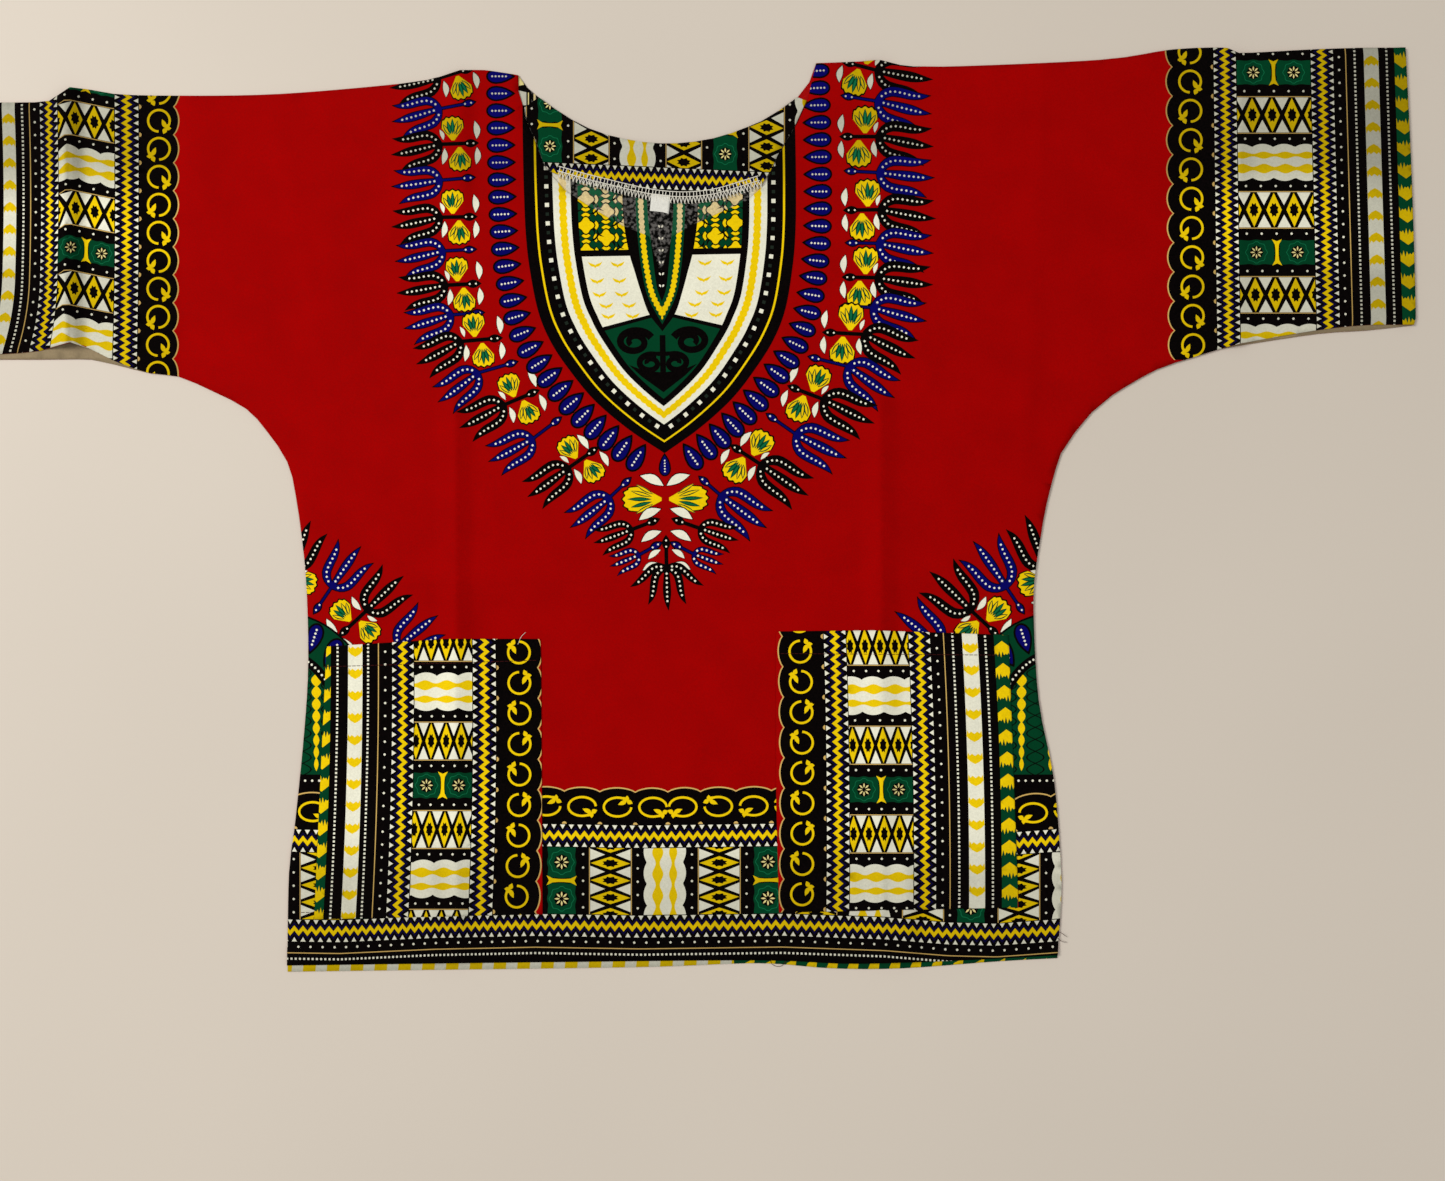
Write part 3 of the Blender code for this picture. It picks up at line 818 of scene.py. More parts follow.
def waves_cell(target, place, u, long, v0, v1, ground, way):
    """White with scalloped ends, and two yellow bands that swell and narrow."""
    span = abs(v1 - v0)
    lobes = span / 12.6
    ends = [[], []]
    for side, points in zip((-1, 1), ends):
        for t in np.linspace(0.0, 1.0, 37):
            lobe = abs(math.sin(math.pi * (lobes * t + 0.35))) ** 0.7
            points.append((u + side * (0.5 * long - 1.9 + 2.1 * lobe), v0 + (v1 - v0) * t))
    area = target.add("white", [place(*p) for p in ends[0] + ends[1][::-1]], ground)
    for shift, thick in ((0.20 * way, 0.20), (-0.17 * way, 0.27)):
        upper, lower = [], []
        for t in np.linspace(0.0, 1.0, 28):
            swell = 0.68 + 0.32 * math.cos(2 * math.pi * (lobes * t + 0.8))
            half = 0.5 * thick * long * swell
            upper.append((u + shift * long + half, v0 + (v1 - v0) * t))
            lower.append((u + shift * long - half, v0 + (v1 - v0) * t))
        target.add("yellow", [place(*p) for p in lower + upper[::-1]], area)


def green_cell(target, place, u, long, v0, v1, ground):
    """Two green cartouches with a small cream flower each, joined by a yellow clasp."""
    middle = 0.5 * (v0 + v1)
    half = abs(v1 - v0) / 2
    for side in (-1, 1):
        centre = middle + side * (half * 0.53 + 0.4)
        wide, tall = half * 0.52, long * 0.5
        outline = []
        for a in np.arange(40) * math.pi / 20:
            square = 1.0 / max(abs(math.cos(a)), abs(math.sin(a))) ** 0.9
            ripple = 0.93 + 0.04 * math.cos(8 * a)
            outline.append((u + tall * square * ripple * math.cos(a),
                            centre + wide * square * ripple * math.sin(a)))
        area = target.add("green", [place(*p) for p in outline], ground)
        x, y = place(u, centre)
        size = min(tall, wide)
        rings = [("leafgreen", blossom(0.80 * size, 8, 0.08)), ("green", blossom(0.75 * size, 8, 0.08)),
                 ("black", blossom(0.50 * size, 8, 0.05))]
        for k in range(8):
            a = k * math.pi / 4
            rings.append(("straw", leaf(0.36 * size, 0.12 * size, 0.12 * size * math.cos(a),
                                        0.12 * size * math.sin(a), a, 0.0, 6)))
        stamp(target, rings, spot(x, y, onto=flat), area)
    clasp = [(-0.5, -2.9), (-0.30, -1.2), (-0.1, -0.9), (0.1, -0.9), (0.30, -1.2), (0.5, -2.9),
             (0.42, 0.0), (0.5, 2.9), (0.30, 1.2), (0.1, 0.9), (-0.1, 0.9), (-0.30, 1.2),
             (-0.5, 2.9), (-0.42, 0.0)]
    target.add("black", level(place, box(u - 0.5 * long, middle - 1.4, u + 0.5 * long, middle + 1.4)), ground)
    target.add("yellow", [place(u + a * long, middle + b) for a, b in clasp], ground)


def dotted_cell(target, place, u, v0, v1, ground, pitch):
    count = round(abs(v1 - v0) / pitch)
    for i in range(count):
        x, y = place(u, v0 + (v1 - v0) * (i + 0.5) / count)
        target.add("white", disc(0.74, 6, x, y), ground)


def cell_row(target, place, u0, u1, v0, v1, run):
    """The cycle of cells along a band, placed so that a green one is centred on run's green."""
    ground = target.add("black", level(place, box(u0, v0, u1, v1)))
    stretch = run["stretch"]
    cycle = sum(long for _, long in CELLS) * stretch
    start = run["green"] - 0.5 * CELLS[0][1] * stretch
    start -= cycle * math.ceil((start - u0) / cycle)
    u = start
    while u < u1:
        for kind, long in CELLS:
            long *= stretch
            middle = u + long / 2
            u += long
            if middle + long < u0 or middle - long > u1:
                continue
            if kind == "lozenge":
                lozenge_cell(target, place, middle, long, v0, v1, ground, run)
            elif kind == "waves":
                waves_cell(target, place, middle, long, v0, v1, ground, -1 if run["turn"] == 2 else 1)
            elif kind == "green":
                green_cell(target, place, middle, long, v0, v1, ground)
            else:
                dotted_cell(target, place, middle, v0, v1, ground, 0.8 * run["lozenge"])


def edge_lines(target, name, place, band, run, arrows):
    """From the second zigzag to the cloth's edge: dots, lines, a striped and an ikat band. The
    arrows of the last two point by the signs in arrows."""
    u0, u1 = run["low"], run["high"]
    target.add("black", level(place, box(u0, band["zigzag_end"], u1, band["ikat_end"])))
    dot_pitch = DOT_PITCH.get(name, 7.5)
    square_pitch = SQUARE_PITCH.get(name, 2.35)
    for i in range(math.ceil((u1 - u0) / dot_pitch)):
        x, y = place(u0 + (i + 0.5) * dot_pitch, band["dots"])
        target.add("white", disc(0.75, 6, x, y))
    target.add("cream", level(place, box(u0, band["line"] - 0.28, u1, band["line"] + 0.28)))
    for v in (band["squares"], band["squares_2"]):
        for i in range(math.ceil((u1 - u0) / square_pitch)):
            u = u0 + (i + 0.5) * square_pitch
            target.add("white", [place(*p) for p in box(u - 0.6, v - 0.6, u + 0.6, v + 0.6)])
    v0, v1 = band["stripe"], band["stripe_end"]
    stripe = target.add("white", level(place, box(u0, v0, u1, v1)))
    for i in range(math.ceil((u1 - u0) / ARROW_PITCH)):
        u = u0 + (i + 0.5) * ARROW_PITCH
        arrow = [(-3.9, 0.04), (-0.2, 0.0), (1.7, 0.2), (3.1, 0.5), (1.7, 0.8), (-0.2, 1.0),
                 (-3.6, 0.96), (-1.9, 0.84), (-3.0, 0.7), (-1.7, 0.5), (-3.0, 0.3), (-1.9, 0.16)]
        target.add("yellow", [place(u + arrows[0] * a, v0 + b * (v1 - v0)) for a, b in arrow], stripe)
    v0, v1 = band["ikat"], band["ikat_end"]
    ikat = target.add("green", level(place, box(u0, v0, u1, v1)))
    for i in range(math.ceil((u1 - u0) / ARROW_PITCH)):
        u = u0 + (i + 0.5) * ARROW_PITCH
        teeth = []
        for k in range(11):
            reach = -4.6 + (2.3 if k % 2 else 0.0) + 0.9 * math.sin(2.3 * k + 1.7 * i)
            teeth.append((reach, k / 10))
        arrow = [*teeth, (0.9, 1.0), (4.3, 0.5), (0.9, 0.0)]
        target.add("yellow", [place(u + arrows[1] * a, v0 + b * (v1 - v0)) for a, b in arrow], ikat)


def band_print(target, name, arrows):
    """One whole border band."""
    band, run = band_of(name)
    place = hem_place if name == "hem" else upright_place(band, run)
    u0, u1 = run["low"], run["high"]
    ring_strip(target, place, band, run)
    edge_lines(target, name, place, band, run, arrows)
    cell_row(target, place, u0, u1, band["cells"], band["cells_end"], run)
    zigzag_strip(target, place, u0, u1, band["zigzag"], band["cells"], run["tooth"])
    zigzag_strip(target, place, u0, u1, band["cells_end"], band["zigzag_end"], run["tooth"])


def body_print():
    """The print of the front, and of the back, which is cut from the same cloth."""
    target = Print()
    side_motifs(target)
    garland(target)
    petals(target)
    yoke(target)
    band_print(target, "hem", (1, 1))
    band_print(target, "right_cuff", (1, -1))
    band_print(target, "left_cuff", (1, -1))
    return target


def right_pocket_print():
    target = Print()
    band_print(target, "right_pocket", (-1, 1))
    return target


def left_pocket_print():
    target = Print()
    band_print(target, "left_pocket", (-1, -1))
    return target


def facing_place(u, v):
    """Along the facing: v is the height over its zigzag's upper edge, which slopes a little."""
    return u, 198.6 - 0.045 * (u + 17.0) + v


FACING_RUN = {"green": -82.5, "stretch": 0.975, "turn": 0, "lozenge": 11.2, "lozenge_at": 16.2}


def facing_print():
    target = Print()
    cell_row(target, facing_place, -110.0, 80.0, 46.0, 0.6, FACING_RUN)
    zigzag_strip(target, facing_place, -110.0, 80.0, 1.6, -11.6, 4.25)
    return target


def back_inside_print():
    """The back's wrong side, which shows inside the neck and past the front's edges."""
    target = Print()
    yoke(target)
    # Painted shade: where the back shows past the front's sleeve edges it is drawn grey-brown, as the shade
    # under the front's edge.
    target.add("right bare", box(-440.0, 60.0, -300.0, 260.0))
    target.add("right bare", box(278.0, 60.0, 440.0, 260.0))
    corner = target.add("right black", box(-112.0, 226.0, -93.6, 262.0))
    target.add("right white", [(-104.0, 236.6), (-96.4, 236.6), (-96.4, 244.2), (-104.0, 246.0)], corner)
    target.add("right white", [(-104.0, 226.0), (-96.4, 226.0), (-96.4, 233.4), (-104.0, 233.4)], corner)
    target.add("right straw", [(-104.0, 247.4), (-97.8, 248.6), (-99.4, 254.6), (-104.0, 256.0)], corner)
    target.add("right straw", box(-95.5, 226.0, -94.9, 244.0), corner)
    hem_edge_print(target)
    return target


def hem_edge_print(target):
    """The back's turned hem, where it shows below the front: white and yellow on the left, and
    green and yellow on the right."""
    stripe = target.add("right white", box(-245.0, -275.0, 25.0, -256.0))
    for i in range(20):
        u = -238.0 + 13.9 * i
        target.add("right yellow", [(u - 3.6, -275.0), (u + 3.8, -275.0), (u + 5.8, -256.0),
                                    (u - 1.6, -256.0)], stripe)
    ikat = target.add("right green", box(25.0, -275.0, 225.0, -256.0))
    for i in range(17):
        u = 30.0 + 12.2 * i
        target.add("right yellow", [(u - 2.5, -275.0), (u + 5.5, -275.0), (u + 6.6, -267.0),
                                    (u + 7.2, -262.0), (u + 1.5, -265.0)], ikat)


# Heights

def ridge(x, y, row, end):
    """A row's height at points x, y: a cosine across it, dying out over end at its ends."""
    fold = dict(zip(FOLD_COLUMNS, row))
    start = np.array([fold["x0"], fold["y0"]], float)
    way = np.array([fold["x1"], fold["y1"]], float) - start
    span = float(np.linalg.norm(way))
    way /= span
    along = (x - start[0]) * way[0] + (y - start[1]) * way[1]
    off = -(x - start[0]) * way[1] + (y - start[1]) * way[0]
    past = np.maximum(np.maximum(-along, along - span), 0.0)
    across = 0.5 * (1 + np.cos(math.pi * np.minimum(np.abs(off) / fold["half_width"], 1.0)))
    return fold["height"] * across * 0.5 * (1 + np.cos(math.pi * np.minimum(past / end, 1.0)))


def front_height(x, y):
    """How far the front stands over lying flat, in mm, at numpy points."""
    height = np.zeros_like(x)
    for row in FOLDS:
        height += ridge(x, y, row, FOLD_END)
    for cx, cy, radius, top in SWELLS:
        away = np.minimum(np.hypot(x - cx, y - cy) / radius, 1.0)
        height += top * 0.5 * (1 + np.cos(math.pi * away))
    for row in CREASES:
        height += ridge(x, y, row, 20.0)
    height += 0.16 * np.sin(x * 0.061 + 1.3 * np.sin(y * 0.037)) * np.sin(y * 0.049 + 0.7)
    height += 0.07 * np.sin(x * 0.21 + 2.0 * np.sin(y * 0.13)) * np.sin(y * 0.17 + 0.4)
    return height


# Sheets

def node_loop(name):
    """The outline of a CAD sheet, anticlockwise, in mm: the lower edge of its upright rim."""
    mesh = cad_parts[name].data
    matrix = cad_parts[name].matrix_world
    points = [matrix @ v.co for v in mesh.vertices]
    links = {}
    for face in mesh.polygons:
        if abs(face.normal.z) > 0.5:
            continue
        for a, b in face.edge_keys:
            pa, pb = points[a], points[b]
            if (pa - pb).xy.length > 1e-6:
                ka, kb = (tuple(round(c / MM, 3) for c in p.xy) for p in (pa, pb))
                links.setdefault(ka, set()).add(kb)
                links.setdefault(kb, set()).add(ka)
    start = min(links)
    loop, before, here = [start], None, start
    while True:
        ahead = [k for k in links[here] if k != before]
        before, here = here, ahead[0]
        if here == start:
            break
        loop.append(here)
    return anticlockwise(loop)


def anticlockwise(points):
    turned = sum(a[0] * b[1] - b[0] * a[1] for a, b in zip(points, [*points[1:], points[0]]))
    return list(points) if turned > 0 else list(points)[::-1]


def grid_inside(loop, step, folded):
    """An even grid over a loop's box, with finer rows along each fold and crease."""
    xs, ys = zip(*loop)
    points = [(x + (0.5 * step if j % 2 else 0.0), y)
              for j, y in enumerate(np.arange(min(ys), max(ys), step))
              for x in np.arange(min(xs), max(xs), step)]
    if not folded:
        return points
    for row in FOLDS + CREASES:
        fold = dict(zip(FOLD_COLUMNS, row))
        start, end = np.array([fold["x0"], fold["y0"]]), np.array([fold["x1"], fold["y1"]])
        way = (end - start) / np.linalg.norm(end - start)
        across = np.array([-way[1], way[0]])
        rows = 7 if fold["height"] > 5 else 5 if fold["half_width"] > 10 else 3
        for i in range(-rows, rows + 1):
            for along in np.arange(-10.0, np.linalg.norm(end - start) + 10.0, 6.5):
                x, y = start + way * along + across * fold["half_width"] * i / rows
                if min(xs) < x < max(xs) and min(ys) < y < max(ys):
                    points.append((x, y))
    return points


def allowed(shapes, number, holders):
    """Whether all that a motif is kept within is here."""
    within = shapes[number][2]
    while within is not None:
        if within + 1 not in holders:
            return False
        within = shapes[within][2]
    return True


def cut_plan(loop, target, ground, inner, fine):
    """The sheet's plan with the print cut in: points in mm, triangles, and each one's dye."""
    shapes = target.shapes if target else []
    points = [Vector(p) for p in loop]
    faces = [list(range(len(points)))]
    for _, outline, _ in shapes:
        outline = anticlockwise(outline)
        if fine:
            outline = level(flat, outline, 3.5)
        faces.append(list(range(len(points), len(points) + len(outline))))
        points += [Vector(p) for p in outline]
    points += [Vector(p) for p in inner]
    found = delaunay_2d_cdt(points, [], faces, 1, 1e-4, True)
    triangles, dyes = [], []
    for triangle, holders in zip(found[2], found[5]):
        if 0 not in holders:
            continue
        held = set(holders)
        dye = ground
        for number in sorted(held, reverse=True):
            if number == 0:
                break
            if allowed(shapes, number - 1, held):
                dye = shapes[number - 1][0]
                break
        triangles.append(tuple(triangle))
        dyes.append(dye)
    return np.array([tuple(p) for p in found[0]]), np.array(triangles), dyes


def rim_loop(triangles):
    """The border of a plan as ordered vertex numbers."""
    sides = {}
    for a, b, c in triangles:
        for edge in ((a, b), (b, c), (c, a)):
            sides[edge] = True
    ahead = {a: b for a, b in sides if (b, a) not in sides}
    start = next(iter(ahead))
    loop, here = [start], ahead[start]
    while here != start:
        loop.append(here)
        here = ahead[here]
    return loop


def sheet_object(name, loop, upper, lower, height, base, drop=None, under=1.0):
    """A thin shell: upper and lower are (print or None, ground dye, finish prefix), height and
    base give mm over the floor, drop how far the edge comes down, and under the underside's share
    of the height."""
    inner = grid_inside(loop, PLAN_STEP if height else 2 * PLAN_STEP, height)
    points, triangles, dyes = cut_plan(loop, upper[0], upper[1], inner, height)
    border = rim_loop(triangles)
    under_loop = [tuple(points[i]) for i in border]
    low_points, low_triangles, low_dyes = cut_plan(under_loop, lower[0], lower[1], inner, height)
    used, triangles = np.unique(triangles, return_inverse=True)
    triangles = triangles.reshape(-1, 3)
    points = points[used]
    low_used, low_triangles = np.unique(low_triangles, return_inverse=True)
    low_triangles = low_triangles.reshape(-1, 3)
    low_points = low_points[low_used]
    top = surface(points, height, base + SHEET, drop, 1.0)
    bottom = surface(low_points, height, base, drop, under)
    count = len(top)
    low_border = rim_loop([tuple(t) for t in low_triangles])
    top_border = rim_loop([tuple(t) for t in triangles])
    rim = stitch_rims(top, top_border, bottom, low_border, count)
    faces = [tuple(t) for t in triangles]
    faces += [(c + count, b + count, a + count) for a, b, c in low_triangles]
    faces += rim
    kinds = [finish(upper[2], d) for d in dyes] + [finish(lower[2], d) for d in low_dyes]
    kinds += [lower[2] + lower[1]] * len(rim)
    return mesh_object(name, np.vstack([top, bottom]) * MM, faces, kinds)


def finish(prefix, dye):
    """A dye's material. The right side of a turned hem keeps its own on a wrong side."""
    return dye.removeprefix("right ") if dye.startswith("right ") else prefix + dye


def surface(points, height, base, drop, share):
    """Points at their heights. What a fold lifts is moved in under the camera by as much as it
    would otherwise be seen to shift."""
    z = np.full(len(points), float(base))
    lift = np.zeros(len(points))
    if height:
        lift = height(points[:, 0], points[:, 1])
        z += share * lift - 9.0 * (1.0 - share) * np.clip(lift, 0.0, 1.0)
    if drop:
        z -= drop(points)
    middle = np.array([CAMERA_X, CAMERA_Y]) / MM
    seen = points - (points - middle) * (lift / (CAMERA_Z / MM))[:, None]
    return np.column_stack([seen, z])


def stitch_rims(top, top_border, bottom, low_border, count):
    """Faces between the two borders, which may differ by a few points."""
    places = kdtree.KDTree(len(low_border))
    for i, v in enumerate(low_border):
        places.insert((*bottom[v][:2], 0.0), i)
    places.balance()
    start = places.find((*top[top_border[0]][:2], 0.0))[1]
    low = low_border[start:] + low_border[:start]
    faces = []
    i = j = 0
    while i < len(top_border) or j < len(low):
        a, b = top_border[i % len(top_border)], top_border[(i + 1) % len(top_border)]
        c, d = low[j % len(low)], low[(j + 1) % len(low)]
        step_top = np.linalg.norm(top[b][:2] - bottom[c][:2])
        step_low = np.linalg.norm(bottom[d][:2] - top[a][:2])
        if i < len(top_border) and (j >= len(low) or step_top <= step_low):
            faces.append((a, c + count, b))
            i += 1
        else:
            faces.append((a, c + count, d + count))
            j += 1
    return faces


def mesh_object(name, points, faces, kinds):
    mesh = bpy.data.meshes.new(name)
    mesh.from_pydata([tuple(p) for p in points], [], faces)
    slots = sorted(set(kinds))
    for kind in slots:
        mesh.materials.append(dye_material(kind))
    mesh.polygons.foreach_set("material_index", [slots.index(k) for k in kinds])
    mesh.polygons.foreach_set("use_smooth", [True] * len(faces))
    mesh.update()
    made = bpy.data.objects.new(name, mesh)
    bpy.context.scene.collection.objects.link(made)
    return made


def edge_drop(loop, depth, skip=None):
    """How far a sewn edge comes down near a loop, less where skip(x, y) says."""
    dense = []
    for a, b in zip(loop, [*loop[1:], loop[0]]):
        pieces = max(1, round(math.dist(a, b)))
        dense += [(a[0] + (b[0] - a[0]) * i / pieces, a[1] + (b[1] - a[1]) * i / pieces)
                  for i in range(pieces)]
    tree = kdtree.KDTree(len(dense))
    for i, p in enumerate(dense):
        tree.insert((*p, 0.0), i)
    tree.balance()

    def drop(points):
        away = np.array([tree.find((x, y, 0.0))[2] for x, y in points])
        near = np.clip(1.0 - away / EDGE_ROUND, 0.0, 1.0) ** 2
        if skip:
            near *= np.array([0.0 if skip(x, y) else 1.0 for x, y in points])
        return near * depth

    return drop


# Dyes: linear colours of the cloth's right side, then of its wrong side
RIGHT = {
    "red": (0.305, 0.0003, 0.0003),
    "black": (0.0014, 0.0008, 0.0008),
    "smoke": (0.012, 0.020, 0.014),
    "navy": (0.0022, 0.0018, 0.110),
    "ink": (0.003, 0.002, 0.030),
    "yellow": (0.80, 0.56, 0.002),
    "green": (0.0006, 0.044, 0.0155),
    "leafgreen": (0.005, 0.125, 0.050),
    "white": (0.77, 0.77, 0.63),
    "cream": (0.60, 0.40, 0.12),
    "straw": (0.66, 0.58, 0.24),
    # Painted shade, not a dye: the grey-brown of the back where it shows past the front's sleeve edges.
    "bare": (0.27, 0.21, 0.125),
}
WRONG = {
    "red": (0.30, 0.003, 0.003),
    "black": (0.020, 0.019, 0.018),
    "smoke": (0.04, 0.045, 0.04),
    "navy": (0.025, 0.025, 0.11),
    "ink": (0.02, 0.02, 0.045),
    "yellow": (0.62, 0.50, 0.25),
    "green": (0.010, 0.085, 0.036),
    "leafgreen": (0.05, 0.22, 0.11),
    "white": (0.58, 0.56, 0.46),
    "cream": (0.55, 0.42, 0.22),
    "straw": (0.55, 0.50, 0.28),
}
THREAD = {"thread": (0.72, 0.70, 0.62), "dark thread": (0.05, 0.008, 0.008), "tape": (0.66, 0.66, 0.61)}
WEAVE_PITCH = 0.55         # mm between threads
made_materials = {}


def link(tree, out, into):
    tree.links.new(out, into)


def node(tree, kind, **values):
    made = tree.nodes.new(kind)
    for key, value in values.items():
        if key in made.inputs:
            made.inputs[key].default_value = value
        else:
            setattr(made, key, value)
    return made


def dye_material(kind):
    """Cotton in one dye. The kind is a dye's name, with "wrong " before it for the wrong side."""
    if kind in made_materials:
        return made_materials[kind]
    wrong = kind.startswith("wrong ")
    name = kind.removeprefix("wrong ")
    colour = THREAD.get(name) or (WRONG if wrong else RIGHT)[name]
    material = bpy.data.materials.new(kind.replace(" ", "_") + "_cotton")
    material.use_nodes = True
    tree = material.node_tree
    shader = tree.nodes["Principled BSDF"]
    where = node(tree, "ShaderNodeTexCoord").outputs["Object"]
    patchy = noise(tree, where, 38.0, 3.0)
    fibre = noise(tree, where, 520.0 if wrong and name == "black" else 950.0, 2.0)
    shade = ranged(tree, patchy, 0.3, 0.7, 0.94, 1.05)
    low, high = (0.44, 0.62) if wrong and name == "black" else (0.3, 0.7)
    grain = ranged(tree, fibre, low, high, *speckle(name, wrong))
    strength = product(tree, shade, grain)
    # Painted shade: pale dyes are darkened by place, as shade near the shoulders, facing, hem, sleeves and
    # cuffs.
    if name in ("white", "yellow", "cream") and not wrong:
        strength = product(tree, strength, painted_shade_on_pale(tree, where))
    tint = node(tree, "ShaderNodeVectorMath", operation="SCALE")
    tint.inputs[0].default_value = colour
    link(tree, strength, tint.inputs["Scale"])
    link(tree, tint.outputs[0], shader.inputs["Base Color"])
    link(tree, ranged(tree, fibre, 0.3, 0.7, 0.74, 0.92), shader.inputs["Roughness"])
    shader.inputs["Specular IOR Level"].default_value = 0.02
    link(tree, weave(tree, where, patchy), shader.inputs["Normal"])
    made_materials[kind] = material
    return material


def product(tree, a, b):
    made = node(tree, "ShaderNodeMath", operation="MULTIPLY")
    link(tree, a, made.inputs[0])
    link(tree, b, made.inputs[1])
    return made.outputs[0]


def speckle(name, wrong):
    """How far single threads vary in brightness, lowest and highest."""
    if wrong and name == "black":
        return 0.10, 5.2
    if name == "black":
        return 0.5, 2.2
    return (0.82, 1.14) if wrong else (0.92, 1.06)


def noise(tree, where, scale, detail):
    made = node(tree, "ShaderNodeTexNoise", Scale=scale, Detail=detail)
    link(tree, where, made.inputs["Vector"])
    return made.outputs["Fac"]


def ranged(tree, value, low, high, to_low, to_high):
    made = node(tree, "ShaderNodeMapRange")
    for key, number in (("From Min", low), ("From Max", high), ("To Min", to_low), ("To Max", to_high)):
        made.inputs[key].default_value = number
    link(tree, value, made.inputs["Value"])
    return made.outputs["Result"]


def painted_shade_on_pale(tree, where):
    """Painted shade: pale dyes are drawn greyer near the shoulders and the neck facing, the hem,
    the sleeves' lower edges and the cuffs' ends."""
    split = node(tree, "ShaderNodeSeparateXYZ")
    link(tree, where, split.inputs[0])
    high = ranged(tree, split.outputs["Y"], 0.178, 0.202, 1.0, 0.60)
    foot = ranged(tree, split.outputs["Y"], -0.215, -0.190, 0.72, 1.0)
    off = node(tree, "ShaderNodeMath", operation="SUBTRACT")
    off.inputs[1].default_value = 0.018
    link(tree, split.outputs["X"], off.inputs[0])
    away = node(tree, "ShaderNodeMath", operation="ABSOLUTE")
    link(tree, off.outputs[0], away.inputs[0])
    sleeve = ranged(tree, away.outputs[0], 0.262, 0.276, 0.0, 0.26)
    low = ranged(tree, split.outputs["Y"], 0.135, 0.150, 1.0, 0.0)
    kept = node(tree, "ShaderNodeMath", operation="SUBTRACT")
    kept.inputs[0].default_value = 1.0
    link(tree, product(tree, sleeve, low), kept.inputs[1])
    cuff = ranged(tree, split.outputs["X"], 0.384, 0.392, 1.0, 0.70)
    left_cuff = ranged(tree, split.outputs["X"], -0.380, -0.372, 0.84, 1.0)
    ends = product(tree, cuff, left_cuff)
    return product(tree, product(tree, product(tree, high, foot), kept.outputs[0]), ends)


def weave(tree, where, patchy):
    """Threads over and under, with a faint crumple, as a bump."""
    scale = 2 * math.pi / (20 * WEAVE_PITCH * MM)
    waves = []
    for direction in ("X", "Y"):
        wave = node(tree, "ShaderNodeTexWave", bands_direction=direction, Scale=scale, Distortion=1.2)
        wave.inputs["Detail Scale"].default_value = 0.4
        link(tree, where, wave.inputs["Vector"])
        waves.append(wave.outputs["Fac"])
    cloth = node(tree, "ShaderNodeMath", operation="MULTIPLY")
    link(tree, waves[0], cloth.inputs[0])
    link(tree, waves[1], cloth.inputs[1])
    crumple = node(tree, "ShaderNodeBump", Strength=0.35, Distance=0.0012)
    link(tree, patchy, crumple.inputs["Height"])
    threads = node(tree, "ShaderNodeBump", Strength=0.30, Distance=0.00012)
    link(tree, cloth.outputs[0], threads.inputs["Height"])
    link(tree, crumple.outputs[0], threads.inputs["Normal"])
    return threads.outputs[0]


# Pieces of cloth

def dress(piece, name, flat, area, **how):
    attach(piece, "root")
    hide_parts(name)


def loop_area(loop):
    turned = sum(a[0] * b[1] - b[0] * a[1] for a, b in zip(loop, [*loop[1:], loop[0]]))
    return 0.5 * abs(turned) * MM * MM


def back_piece():
    loop = node_loop("back_panel")
    piece = sheet_object("back_cloth", loop, (back_inside_print(), "red", "wrong "),
                         (body_print(), "red", ""), None, 0.0)
    dress(piece, "back_panel", (0.846, 0.540), loop_area(loop), rests_on=[])
    return piece


FRONT_BASE = CAD_WALL + LAYER_GAP + 0.05


def front_piece(back):
    loop = node_loop("front_panel")

    def open_edge(x, y):
        return y < -255.0 or x < -418.0 or x > 414.0

    piece = sheet_object("front_cloth", loop, (body_print(), "red", ""), (None, "red", "wrong "),
                         front_height, FRONT_BASE, edge_drop(loop, 0.75, open_edge), 0.95)
    dress(piece, "front_panel", (0.846, 0.536), loop_area(loop), rests_on=[back.name],
          with_pieces=[hem_stitches(), *loose_ends()])
    return piece


POCKET_BASE = FRONT_BASE + SHEET + 0.25
# How far the sewn pockets' edges sway from their solids' straight ones, in mm: up at x along the
# top edge, and to the right at y down the two side edges
POCKET_SWAY = {
    "left_pocket": ([(-210.0, 3.0), (-144.0, 4.4), (-88.0, 1.6)], [(-239.0, 0.0), (-82.0, -5.5)],
                    [(-236.0, 0.3), (-160.0, 2.4), (-120.0, 1.4), (-77.0, 0.0)]),
    "right_pocket": ([(50.0, 0.0), (107.0, 2.1), (185.0, 1.1)],
                     [(-235.0, -2.0), (-166.0, -2.4), (-71.0, -0.6)], [(-232.0, 0.0), (-74.0, 0.3)]),
}


def pocket_loop(name):
    """The pocket's outline with its sway."""
    loop = node_loop(name)
    xs, ys = zip(*loop)
    top, left, right = POCKET_SWAY[name]
    swayed = []
    for x, y in loop:
        away_left, away_right, away_top = x - min(xs), max(xs) - x, max(ys) - y
        side = left if away_left < away_right else right
        near = max(0.0, 1.0 - min(away_left, away_right) / 20.0)
        rise = float(np.interp(x, *zip(*top))) * max(0.0, 1.0 - away_top / 20.0)
        swayed.append((x + near * float(np.interp(y, *zip(*side))), y + rise))
    return swayed


def pocket_piece(name, target, front):
    loop = pocket_loop(name)
    piece = sheet_object(name + "_cloth", loop, (target, "red", ""), (None, "red", "wrong "),
                         front_height, POCKET_BASE, edge_drop(loop, 0.2))
    dress(piece, name, (0.145, 0.165), loop_area(loop), rests_on=[front.name],
          with_pieces=[pocket_stitches(name)])
    return piece


FACING_BASE = 1.0          # mm
FACING_EDGE = [(-79.0, 194.6), (-53.0, 187.6), (-18.0, 180.2), (11.0, 180.6), (41.0, 189.0)]


